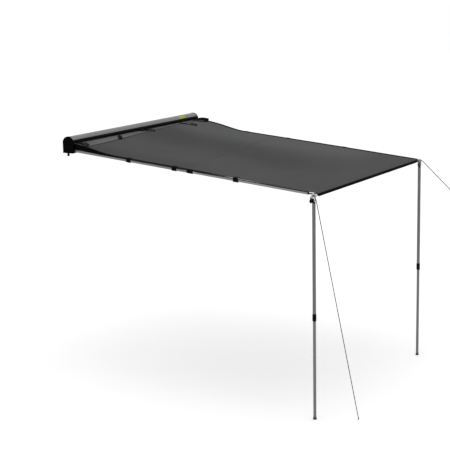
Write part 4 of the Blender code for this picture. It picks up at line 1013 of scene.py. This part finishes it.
# Canopy
@dataclass
class Canopy:
    """Cloth from the case's keder groove to its pocket round the front rail, with hems, seam and stitches."""

    half_width: float = 0.992
    run: float = 2.62
    thickness: float = 0.0013
    bead_radius: float = 0.0036
    pocket_half_width: float = 0.950
    pocket_clearance: float = 0.0012
    pocket_step: float = 11.25
    pocket_steps: int = 24
    pocket_cut: float = 60.0
    pocket_seam_back: float = 0.003
    pocket_seam_drop: float = 0.00135
    rim_width: float = 0.008
    rim_thickness: float = 0.0022
    exit_drop: float = 0.020
    above_arms: float = 0.0195
    at_rail: float = 0.0165
    level_run: float = 0.009
    rail_fall_start: float = 1.500
    edge_zone: float = 0.130
    middle_slope_end: float = 0.750
    near_slope_end: float = 0.520
    far_slope_end: float = 0.700
    far_swell: float = 0.012
    hem_bottom: float = 0.0187
    hem_hang: float = 0.0085
    hem_thickness: float = 0.0007
    hem_lift: float = 0.0006
    hem_gap: float = 0.0002
    hem_swell: float = 0.0026
    hem_paling: float = 0.18
    near_hem_width: float = 0.018
    far_hem_width: float = 0.047
    near_nut_x: float = 1.327
    far_nut_x: float = 1.367
    crease_x: float = 1.160
    crease_slant: float = -0.133
    crease_turn: float = 0.100
    crease_height: float = 0.004
    crease_half_width: float = 0.040
    # Reach of the painted shade on each side of the crease.
    crease_shade_reach: float = 0.011
    seam_near_x: float = 0.252
    seam_far_x: float = 0.150
    seam_width: float = 0.012
    seam_crown: float = 0.0009
    seam_thickness: float = 0.0005
    wave_heights: tuple[float, float, float] = (0.0016, 0.0009, 0.0006)
    pull_height: float = 0.0011
    pull_centre: float = 0.22
    pull_reach: float = 0.20
    fold_depth: float = 0.0016
    fold_width: float = 0.012
    folds: tuple[tuple[Place, Place], ...] = (((2.234, 0.640), (2.392, 0.640)), ((2.245, -0.254), (2.488, -0.344)))
    pucker_height: float = 0.0012
    pucker_pitch: float = 0.115
    # Strengths of the painted shade along the middle, beside the near hem, in the crease and outside the seam, of the
    # seam tape's darkening, and of the painted light towards the far side.
    dull_along: float = 0.50
    painted_shade_beside: float = 0.36
    painted_shade_crease: float = 0.55
    painted_shade_pucker: float = 0.75
    seam_tape_darkening: float = 0.85
    painted_light_share: float = 0.34
    edge_crowding: float = 0.92
    columns: int = 150
    rows: int = 210

    def height(self, x: float, y: float) -> float:
        """Height of the cloth's middle surface between the groove and the rail."""
        groove_end = PLAN.groove_x + self.level_run
        exit_z = PLAN.hood_edge_z - self.exit_drop
        if x <= PLAN.case_depth:
            return between(PLAN.groove_z, exit_z, max(x - groove_end, 0) / (PLAN.case_depth - groove_end))
        at_case = exit_z - PLAN.arm_plane(PLAN.case_depth)
        middle = between(at_case, self.above_arms, eased(x, PLAN.case_depth, self.middle_slope_end))
        slope_end = self.near_slope_end if y < 0 else self.far_slope_end
        edge = between(at_case, self.above_arms, eased(x, PLAN.case_depth, slope_end))
        rise = between(middle, edge, eased(abs(y), self.half_width - self.edge_zone, self.half_width))
        rise += self.far_swell * eased(y, 0.80, 0.96) * plateau(x, 0.12, 0.24, 0.36, 0.66)
        rise -= (self.above_arms - self.at_rail) * eased(x, self.rail_fall_start, PLAN.rail_x - PLAN.rail_radius)
        fold = self.from_crease(x, y) / self.crease_half_width
        rise += self.crease_height * max(0.0, 1 - fold) ** 1.6 * (1 - eased(abs(y), 0.88, 0.95))
        return PLAN.arm_plane(x) + rise + self.drape(x, y)

    def from_crease(self, x: float, y: float) -> float:
        """Distance from the crease across the cloth, which bends back towards the case at its near end."""
        return abs(x - self.crease_x - self.crease_slant * y + self.crease_turn * eased(-y, 0.5, 1.0))

    def drape(self, x: float, y: float) -> float:
        """Small waves and folds of stretched cloth, which die out towards its held edges."""
        inside = 1 - eased(abs(y), 0.78, 0.95)
        held = plateau(x, PLAN.case_depth, 0.30, 2.38, 2.49)
        long, slant, short = self.wave_heights
        wave = long * math.sin(2.1 * x + 1.3) * math.sin(3.3 * y + 0.4)
        wave += slant * math.sin(5.2 * x - 2.7 * y + 0.9) + short * math.sin(8.1 * y + 3.0 * x)
        pulls = 0.0
        for side in (-1, 1):
            dx, dy = PLAN.rail_x - 0.03 - x, side * 0.965 - y
            reach = math.hypot(dx, dy)
            turn = math.atan2(dy * side, dx)
            fade = math.exp(-((reach - self.pull_centre) / self.pull_reach) ** 2)
            pulls += self.pull_height * math.cos(17 * turn + 0.6 * side) * fade
        pulls -= self.fold_depth * sum(self.ridge(x, y, *fold) for fold in self.folds)
        strip = self.pucker_height * math.sin(math.tau * y / self.pucker_pitch + 1.2 * math.sin(4 * y))
        strip *= eased(x, PLAN.case_depth, 0.16)
        strip *= 1 - eased(x, self.seam_x(y) - 0.03, self.seam_x(y))
        return inside * held * (wave + pulls) + inside * strip

    def ridge(self, x: float, y: float, start: Place, stop: Place) -> float:
        """Height of a narrow fold between two points, from 0 to 1."""
        line = Vector(stop) - Vector(start)
        share = min(max((Vector((x, y)) - Vector(start)).dot(line) / line.length_squared, 0.0), 1.0)
        off = (Vector((x, y)) - Vector(start) - line * share).length
        return math.exp(-((off / self.fold_width) ** 2)) * math.sin(math.pi * min(max(share, 0.05), 0.95))

    def seam_x(self, y: float) -> float:
        """X of the felled seam between the strip beside the case and the main cloth."""
        return between(self.seam_near_x, self.seam_far_x, eased(y, -1.15, 0.75))

    def pocket_section(self) -> list[Place]:
        """(x, z) points of the pocket's section, from the rail's top round to the seam below."""
        radius = PLAN.rail_radius + self.pocket_clearance + PLAN.cloth_half
        turns = [math.radians(90 - self.pocket_step * i) for i in range(self.pocket_steps + 1)]
        seam_x = PLAN.rail_x - radius - self.pocket_seam_back
        return [*((PLAN.rail_x + radius * math.cos(t), PLAN.rail_z + radius * math.sin(t)) for t in turns),
                (seam_x, self.height(seam_x, 0) - self.pocket_seam_drop)]

    def pocket_half(self, step: int, end: End) -> float:
        """Half width of the pocket, which is cut away where a corner bracket's block stands.

        Args:
            step: which point of the pocket's section is asked for.
            end: the end that is asked for.

        Returns:
            The distance from the middle to that edge.
        """
        share = (self.pocket_step * step - end.pick(90.0, 0.0)) / self.pocket_cut
        return between(self.half_width, self.pocket_half_width, min(max(share, 0.0), 1.0))

    def tone(self, x: float, y: float) -> tuple[float, float]:
        """How much painted shade and painted light the cloth's colour takes at a place.

        Args:
            x: distance from the case's back.
            y: distance from the middle.

        Returns:
            The painted shade share, which is strongest along the middle and beside the near hem, and the painted
            light share, which grows towards the far side. Both fade out before the rail.
        """
        middle = between(0.12, -0.22, eased(x, 0.8, 2.5))
        along = (1 - eased(abs(y - middle), 0.04, 0.50)) * (1 - eased(x, 1.75, 2.35))
        beside = eased(-y, 0.66, 0.90) * (1 - eased(x, 1.15, 1.50))
        painted_light = eased(y, 0.20, 0.80) * (1 - eased(x, 1.90, 2.30))
        return max(self.dull_along * along, self.painted_shade_beside * beside), self.painted_light_share * painted_light

    def top(self, x: float, y: float, lift: float = 0.0) -> Vector:
        """Point on or above the cloth's upper face."""
        return Vector((x, y, self.height(x, y) + self.thickness / 2 + lift))

    def build(self) -> bpy.types.Object:
        cloth = self.cloth()
        extras = [self.bead(), self.seam_tape(), *[self.hem(end) for end in End],
                  self.stitched("canopy_dark_stitches", self.dark_rows()),
                  self.stitched("canopy_hem_stitches", self.hem_rows()), *[self.pocket_rim(end) for end in End]]
        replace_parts(cloth, "canopy")
        return cloth

    def cloth(self) -> bpy.types.Object:
        """One continuous sheet from the groove, over the rail and round it to the pocket's seam."""
        section = self.pocket_section()
        total = self.rows + len(section)

        def spot(u: float, v: float) -> Vector:
            """Place on the cloth's middle surface."""
            row = v * total
            lean = 2 * u - 1
            spread = math.copysign(abs(lean) ** self.edge_crowding, lean)
            if row <= self.rows + 0.01:
                x = between(PLAN.groove_x + self.bead_radius, PLAN.rail_x - 0.004, row / self.rows)
                y = spread * self.half_width
                return Vector((x, y, self.height(x, y)))
            step = min(round(row - self.rows) - 1, len(section) - 1)
            x, z = section[step]
            return Vector((x, spread * self.pocket_half(step, End.NEAR if spread < 0 else End.FAR), z))

        bm = painted(mapped_grid(self.columns, total, (2 * self.half_width, self.run), spot), self.cloth_masks)
        return walled(shown("canopy_sheet", bm, CLOTH, sharp_degrees=60), self.thickness)

    def cloth_masks(self, point: Vector) -> Masks:
        """Masks of the main cloth at a point: paler strip and painted light, black under the rail, and painted shade.
        """
        x, y, z = point
        seam = self.seam_x(y)
        # Painted shade along the middle and beside the near hem, and painted light towards the far side.
        painted_shade, painted_light = self.tone(x, y)
        beside_case = 1 - eased(x, seam - 0.004, seam + 0.004)
        # Black round the rail's underside: black pocket cloth, which also stands in for the pocket's shade.
        under = x > PLAN.rail_x - 0.024 and z < PLAN.rail_z + 0.004
        round_rail = eased(x, PLAN.rail_x - 0.016, PLAN.rail_x + 0.002)
        low = eased(PLAN.rail_z + 0.0135 - z, 0.0, 0.004)
        # Painted shade just outside the seam and along the crease.
        seam_pucker_shade = plateau(x - seam, -0.008, 0.000, 0.010, 0.034)
        crease_shade = max(0.0, 1 - self.from_crease(x, y) / self.crease_shade_reach)
        return (max(beside_case, painted_light), 1.0 if under else round_rail * low,
                max(crease_shade * self.painted_shade_crease, seam_pucker_shade * self.painted_shade_pucker, painted_shade))

    def bead(self) -> bpy.types.Object:
        """Keder bead in the case's groove, with the cloth's fold wrapped round it."""
        reach = self.half_width - 0.002
        path = [Vector((PLAN.groove_x, y, PLAN.groove_z)) for y in spaced(-reach, reach, 8)]
        return shown("canopy_keder_bead", round_cord(path, self.bead_radius, 14, 0.05), TIE_WEBBING)

    def seam_tape(self) -> bpy.types.Object:
        """Narrow felled seam across the cloth."""
        reach = self.half_width - 0.004
        half = self.seam_width / 2

        def spot(u: float, v: float) -> Vector:
            """Place on the seam's crowned upper face."""
            y = between(-reach, reach, v)
            crown = self.seam_crown * math.sin(math.pi * u) ** 0.5
            return self.top(self.seam_x(y) + between(-half, half, u), y, crown + 0.0001)

        bm = mapped_grid(6, 260, (self.seam_width, 2 * self.half_width), spot)
        # The seam tape is darkened through the fold mask.
        seam = shown("canopy_seam", painted(bm, lambda _: (0.0, 0.0, self.seam_tape_darkening)), CLOTH,
                     sharp_degrees=60)
        return walled(seam, self.seam_thickness, -1.0)

    def hem_low(self, x: float, end: End) -> float:
        """Height of a hem's lower edge, which hangs beside the outer tube but clears the arm's lock nut."""
        nut = end.pick(self.near_nut_x, self.far_nut_x)
        hang = eased(x, PLAN.case_depth + 0.02, 0.40) * (1 - eased(x, 1.45, 1.75))
        hang *= 1 - eased(x, nut - 0.075, nut - 0.040) + eased(x, nut + 0.040, nut + 0.075)
        ripple = 0.0007 * math.sin(17 * x + 3 * end.sign) + 0.0004 * math.sin(41 * x)
        low = PLAN.arm_plane(x) + between(self.hem_bottom - 0.0007, self.hem_hang + ripple, hang)
        return min(low, self.height(x, end.sign * self.half_width) - 0.0012)

    def hem(self, end: End) -> bpy.types.Object:
        """Binding folded over a side edge and hanging beside the arm. The near hem's black from the case outwards is
        painted shade under the cloth's edge, and the far one's outer edge is black.
        """
        width = end.pick(self.near_hem_width, self.far_hem_width)
        first, last = PLAN.case_depth - 0.004, PLAN.rail_x - 0.006
        edge = self.half_width
        on_top = 0.45

        def spot(u: float, v: float) -> Vector:
            """Place on the hem, from its inner edge on the cloth over the side and down."""
            x = between(first, last, v)
            if u < on_top:
                return self.top(x, end.sign * between(edge - width, edge + self.hem_gap, u / on_top), self.hem_lift)
            top = self.height(x, end.sign * edge) + self.thickness / 2
            share = (u - on_top) / (1 - on_top)
            out = self.hem_gap + self.hem_swell * min(share / 0.3, 1.0) ** 0.5
            return Vector((x, end.sign * (edge + out), between(top, self.hem_low(x, end), share)))

        def masks(point: Vector) -> Masks:
            """Masks at a point: the near hem's black is painted shade that fades outwards, and only the far one's
            outer edge is black.
            """
            if end is End.NEAR:
                grey = between(self.hem_paling * eased(point.x, 0.47, 0.72), 1.0, eased(point.x, 1.45, 1.75))
                return 0.0, 1 - grey, 0.0
            return 0.0, 1 - eased(point.y, edge - 0.012, edge - 0.004), 0.0

        bm = painted(mapped_grid(20, 320, (0.06, last - first), spot), masks)
        if end is End.FAR:
            bmesh.ops.reverse_faces(bm, faces=bm.faces)
        made = shown(f"canopy_{end.label}_hem", bm, CLOTH, sharp_degrees=70)
        return walled(made, self.hem_thickness)

    def pocket_rim(self, end: End) -> bpy.types.Object:
        """Bound rim of the pocket's cut end."""
        path = [Vector((x, end.sign * (self.pocket_half(step, end) - 0.003), z))
                for step, (x, z) in enumerate(self.pocket_section()[:-1])]
        bm = band(path, [Vector((0, 1, 0))] * len(path), self.rim_width, self.rim_thickness, 4, 0.003)
        return shown(f"canopy_{end.label}_pocket_rim", bm, TIE_WEBBING)

    def upward(self, point: Vector) -> Vector:
        """Direction out of the cloth's upper face."""
        step = 0.004
        out = self.height(point.x + step, point.y) - self.height(point.x - step, point.y)
        across = self.height(point.x, point.y + step) - self.height(point.x, point.y - step)
        return Vector((-out, -across, 2 * step)).normalized()

    def dark_rows(self) -> list[list[Vector]]:
        """Lines of the double rows of stitches along the seam and before the pocket."""
        side, pocket = self.half_width - 0.01, self.pocket_half_width - 0.006
        return [*([self.top(self.seam_x(y) + offset, y, 0.0009) for y in spaced(-side, side, 120)]
                  for offset in (-0.0035, 0.0035)),
                *([self.top(PLAN.rail_x - back, y) for y in spaced(-pocket, pocket, 120)]
                  for back in (0.026, 0.031))]

    def hem_rows(self) -> list[list[Vector]]:
        """Lines of the single row of stitches along each side hem."""
        return [[self.top(x, sign * (self.half_width - 0.014), 0.0012)
                 for x in spaced(PLAN.case_depth + 0.01, PLAN.rail_x - 0.060, 200)] for sign in (-1, 1)]

    def stitched(self, name: str, rows: Iterable[Sequence[Vector]]) -> bpy.types.Object:
        """Piece that holds the stitches along some rows."""
        bm = bmesh.new()
        for row in rows:
            stitches(bm, row, self.upward)
        return shown(name, bm, STITCH_THREAD)


# Straps
@dataclass(kw_only=True)
class LaidStrap:
    """Webbing that lies on the canopy beside the case, part of it on its edge."""

    canopy: Canopy
    route: Sequence[Place]
    lean_degrees: float
    lift: float = 0.0012
    width: float = 0.025
    thickness: float = 0.0012

    def plan(self) -> list[Vector]:
        """Smooth route on the ground plan."""
        return smooth_route([(x, y, 0.0) for x, y in self.route], 6)

    def laid(self, plan: Sequence[Vector], leans: Sequence[float]) -> list[Vector]:
        """Middle line of the webbing over its plan, raised where it leans on its edge."""
        return [self.canopy.top(point.x, point.y, self.lift + self.width / 2 * math.sin(lean))
                for point, lean in zip(plan, leans)]

    def woven(self, name: str, path: Sequence[Vector], sides: Sequence[Vector],
              step: float = 0.004) -> bpy.types.Object:
        """Stretch of the webbing as a piece."""
        return shown(name, band(path, sides, self.width, self.thickness, step=step), TIE_WEBBING)


@dataclass(kw_only=True)
class TieStrap(LaidStrap):
    """Webbing strap that ties the rolled canopy. It half stands on its edge midway and ends in a buckle."""

    name: str
    tail_rise: float
    folded: bool
    tail_clearance: float = 0.0062
    buckle_length: float = 0.036

    def build(self) -> None:
        """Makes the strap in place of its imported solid, and the tail that is threaded back through its buckle."""
        plan = self.plan()
        most = math.radians(self.lean_degrees)
        leans = [most * math.sin(math.pi * i / (len(plan) - 1)) ** 2 for i in range(len(plan))]
        path = self.laid(plan, leans)
        ups = [self.canopy.upward(point) for point in plan]
        sides = [up.cross(b - a).normalized() for up, a, b in zip(ups, path, path[1:])]
        sides.append(sides[-1])
        turned = [side * math.cos(lean) + up * math.sin(lean) for side, up, lean in zip(sides, ups, leans)]
        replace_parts(self.woven(f"{self.name}_strap_woven", path, turned), f"{self.name}_strap")
        if self.folded:
            self.fold(sides[0])
        before = self.canopy.top(plan[-2].x, plan[-2].y, self.lift)
        self.tail(path[-1], (path[-1] - before).normalized(), sides[-1])

    def fold(self, side: Vector) -> None:
        """Slack of the webbing, bunched up where it comes out from under the hood."""
        x, y = PLAN.case_depth + 0.011, self.route[1][1]
        up = self.canopy.upward(Vector((x, y, 0)))
        along = side.cross(up)
        foot = self.canopy.top(x, y, self.lift)
        bunch = ((-0.006, 0.001), (-0.005, 0.008), (0.001, 0.013), (0.008, 0.010), (0.010, 0.003), (0.002, 0.002))
        path = smooth_route([foot + along * a + up * c for a, c in bunch], 4)
        self.woven(f"{self.name}_strap_fold", path, [side] * len(path), 0.002)

    def tail(self, start: Vector, along: Vector, side: Vector) -> None:
        """Loose tail of the strap.

        Args:
            start: the strap's end, where its buckle begins.
            along: the direction that the buckle lies in.
            side: the direction of the webbing's width.
        """
        up = along.cross(side)
        curl = ((-0.010, 0.0, 0.0), (0.002, 0.0, 0.0010), (0.007, 0.001, 0.0063), (-0.002, 0.004, 0.0128),
                (-0.022, 0.010, 0.0163), (-0.048, 0.018, 0.0153), (-0.068, 0.025, 0.0098))
        path = smooth_route([start + along * (self.buckle_length + a) + side * b
                             + up * (self.tail_clearance + c * self.tail_rise) for a, b, c in curl], 5)
        self.woven(f"{self.name}_strap_tail", path, [side + up * 0.25] * len(path))


@dataclass(kw_only=True)
class LoopStrap(LaidStrap):
    """Tie strap at the far end, which lies on the cloth in a loop with its webbing on edge."""

    lean_degrees: float = 66.0
    lift: float = 0.0016

    def build(self) -> None:
        """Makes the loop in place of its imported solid. It comes out flat from under the hood and goes back so."""
        plan = self.plan()
        most = math.radians(self.lean_degrees)
        leans = [most * eased(share, 0.0, 0.22) * (1 - 0.90 * eased(share, 0.48, 0.66)) * (1 - eased(share, 0.8, 1.0))
                 for share in spaced(0.0, 1.0, len(plan) - 1)]
        sides = [Vector((0, math.cos(lean), math.sin(lean))) for lean in leans]
        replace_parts(self.woven("far_end_strap_woven", self.laid(plan, leans), sides), "far_end_strap")


@dataclass
class ArmStrap:
    """Hook-and-loop strap from a side hem down round the arm."""

    end: End
    count: int
    station: float
    canopy: Canopy
    width: float = 0.045
    thickness: float = 0.0012
    gap: float = 0.0003
    arm_clearance: float = 0.0018
    corner: float = 0.003
    inner_edge: float = 0.032
    hem_seat: float = 0.012

    def section(self) -> list[Place]:
        """(outward, up) points of the strap's line, from the cloth over the hem and round under the arm."""
        half = self.thickness / 2
        edge = self.canopy.half_width
        hem = max(self.canopy.height(self.station + along, self.end.sign * y) - PLAN.arm_plane(self.station + along)
                  for along in (-self.width / 2, self.width / 2) for y in (edge - self.inner_edge, edge))
        top = hem + PLAN.cloth_half + 2 * self.gap + half
        low = -PLAN.tube_radius - 3 * self.gap - half
        out = PLAN.arm_y + PLAN.tube_radius + self.arm_clearance + half - self.corner
        points = [(edge - self.inner_edge, top), (edge - self.hem_seat, top)]
        for up, start in ((top - self.corner, 90), (low + self.corner, 0)):
            for turn in (math.radians(start - 22.5 * i) for i in range(5)):
                points.append((out + self.corner * math.cos(turn), up + self.corner * math.sin(turn)))
        return [*points, (PLAN.arm_y + 0.004, low), (PLAN.arm_y - 0.008, low)]

    def build(self) -> None:
        """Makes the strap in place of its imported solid."""
        place = Matrix.Translation((self.station, 0, PLAN.arm_plane(self.station))) @ ARM_TILT
        path = [place @ Vector((0, self.end.sign * y, z)) for y, z in self.section()]
        sides = [place.to_3x3() @ Vector((1, 0, 0))] * len(path)
        name = f"{self.end.label}_arm_strap_{self.count}"
        bm = band(path, sides, self.width, self.thickness, 8, 0.0025)
        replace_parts(shown(f"{name}_pile", bm, HOOK_TAPE), name)


# Case trim
@dataclass
class BoltCap:
    """Fluted cap pushed on the tail of an arm's pivot bolt, below the case."""

    end: End
    pivot_x: float
    nut_below: float
    radius: float = 0.0106
    bore: float = 0.0043
    tail: float = 0.0583
    floor_thickness: float = 0.0012
    collar: float = 0.0030
    facets: int = 64
    flutes: int = 8
    flute_depth: float = 0.10

    def build(self) -> bpy.types.Object:
        """Makes the cap by turning its outline round the bolt, which stands square to the plane of the arms."""
        rim, floor = -self.nut_below, -self.tail - self.floor_thickness
        outline = [(0.0, -self.tail), (self.bore, -self.tail), (self.bore, rim), (self.radius - 0.0006, rim),
                   (self.radius, rim - 0.0008), (self.radius, rim - self.collar),
                   (self.radius - 0.0005, rim - self.collar - 0.0010), (self.radius - 0.0012, floor + 0.0034),
                   (self.radius - 0.0022, floor + 0.0012), (self.radius - 0.0042, floor + 0.0001), (0.0, floor)]
        pivot = (self.pivot_x, self.end.sign * PLAN.arm_y, PLAN.arm_plane(self.pivot_x))
        place = Matrix.Translation(pivot) @ ARM_TILT

        def spot(u: float, v: float) -> Vector:
            """Place on the cap's skin, which is fluted below its collar."""
            r, z = outline[round(v * (len(outline) - 1))]
            turn = u * math.tau
            if r > self.bore + 0.0001 and z < rim - self.collar - 0.0005:
                r *= 1 - self.flute_depth * max(0.0, math.cos(self.flutes * turn)) ** 2
            return place @ Vector((r * math.cos(turn), r * math.sin(turn), z))

        size = (math.tau * self.radius, self.tail - self.nut_below)
        bm = sealed(mapped_grid(self.facets, len(outline) - 1, size, spot))
        return shown(f"{self.end.label}_bolt_cap", bm, FITTING_NYLON)


@dataclass
class HoodStrip:
    """Thin strip stuck on the hood's arch: its black lip seal, which also stands in for shade under the hood's edge,
    or the plain film patch near its far end.
    """

    name: str
    finish: Finish
    near_y: float
    far_y: float
    low_z: float
    high_z: float
    thickness: float
    cells: int = 20
    lift: float = 0.0003

    def build(self) -> bpy.types.Object:
        """Makes the strip on the arch."""
        radius = PLAN.arch_radius + self.lift
        low = math.asin((self.low_z - PLAN.arch_z) / radius)
        high = math.asin((self.high_z - PLAN.arch_z) / radius)

        def spot(u: float, v: float) -> Vector:
            """Place on the strip's face."""
            turn = between(low, high, v)
            return Vector((PLAN.arch_radius + radius * math.cos(turn), between(self.near_y, self.far_y, u),
                           PLAN.arch_z + radius * math.sin(turn)))

        bm = mapped_grid(self.cells, 10, (self.far_y - self.near_y, self.high_z - self.low_z), spot)
        return walled(shown(self.name, bm, self.finish), self.thickness, 1.0)


NEAR_ROUTE = (
    (2.4880, -1.0270, -0.2717), (2.4887, -1.0265, -0.2670), (2.4930, -1.0255, -0.2627),
    (2.5000, -1.0250, -0.2615), (2.5080, -1.0250, -0.2625), (2.5200, -1.0250, -0.2680),
    (2.5285, -1.0245, -0.2800), (2.5340, -1.0225, -0.3000), (2.5450, -1.0155, -0.3700),
    (2.5640, -1.0035, -0.4920), (2.5966, -0.9827, -0.7000), (2.6436, -0.9528, -1.0000),
    (2.6984, -0.9180, -1.3500), (2.7532, -0.8832, -1.7000), (2.8180, -0.8420, -2.1140),
)
FAR_ROUTE = (
    (2.5240, 1.0270, -0.2717), (2.5247, 1.0265, -0.2670), (2.5290, 1.0255, -0.2627),
    (2.5360, 1.0250, -0.2615), (2.5440, 1.0255, -0.2625), (2.5560, 1.0275, -0.2690),
    (2.5700, 1.0300, -0.2820), (2.6400, 1.0433, -0.3520), (2.7400, 1.0622, -0.4520),
    (2.8340, 1.0800, -0.5460),
)
# Name, lean in degrees, share of the tail's full rise, whether the slack is bunched up, and route
TIE_STRAPS = (
    ("near_end", 40.0, 0.5, True, ((0.098, -0.926), (0.135, -0.944), (0.170, -0.952), (0.203, -0.954))),
    ("near_middle", 65.0, 1.0, False, ((0.096, -0.285), (0.130, -0.345), (0.172, -0.412), (0.210, -0.450))),
    ("middle", 50.0, 0.3, True, ((0.098, -0.010), (0.125, 0.010), (0.152, 0.040), (0.188, 0.072))),
    ("far_middle", 15.0, 0.2, False, ((0.098, 0.690), (0.150, 0.660), (0.200, 0.672), (0.262, 0.690))),
)
LOOP_ROUTE = (
    (0.096, 0.958), (0.130, 0.964), (0.168, 0.973), (0.210, 0.978), (0.252, 0.975), (0.276, 0.957), (0.274, 0.928),
    (0.248, 0.905), (0.196, 0.896), (0.142, 0.898), (0.102, 0.906),
)
ARM_STRAP_STATIONS = (0.700, 1.172, 1.776)
# End, X of the pivot, and how far the nut reaches below the arms' plane
BOLT_CAPS = ((End.NEAR, 0.040, 0.0408), (End.FAR, 0.080, 0.0374))


def main() -> None:
    """Builds the whole scene."""
    logging.basicConfig(level=logging.INFO, format="%(name)s: %(message)s")
    Studio().build()
    dress_cad_nodes()
    GuyRope(End.NEAR, NEAR_ROUTE, "knot", ["near_rope_stopper"]).build()
    GuyRope(End.FAR, FAR_ROUTE, "fitting", ["far_rope_stopper", "far_rope_runner", "far_rope_loop"]).build()
    canopy = Canopy()
    canopy.build()
    for name, lean, rise, folded, route in TIE_STRAPS:
        TieStrap(canopy=canopy, route=route, name=name, lean_degrees=lean, tail_rise=rise, folded=folded).build()
    LoopStrap(canopy=canopy, route=LOOP_ROUTE).build()
    for end in End:
        for count, station in enumerate(ARM_STRAP_STATIONS, 1):
            ArmStrap(end, count, station, canopy).build()
    for end, pivot_x, nut_below in BOLT_CAPS:
        BoltCap(end, pivot_x, nut_below).build()
    # Black lip seal, which also stands in for the shade under the hood's lower edge.
    HoodStrip("hood_lip_seal_and_shade", SEAL_RUBBER, near_y=-0.9995, far_y=0.9995, low_z=0.0265, high_z=0.0438,
              thickness=0.0014, cells=80).build()
    HoodStrip("hood_patch", PATCH_FILM, near_y=0.695, far_y=0.800, low_z=0.0470, high_z=0.0670,
              thickness=0.0002).build()


if __name__ == "__main__":
    main()
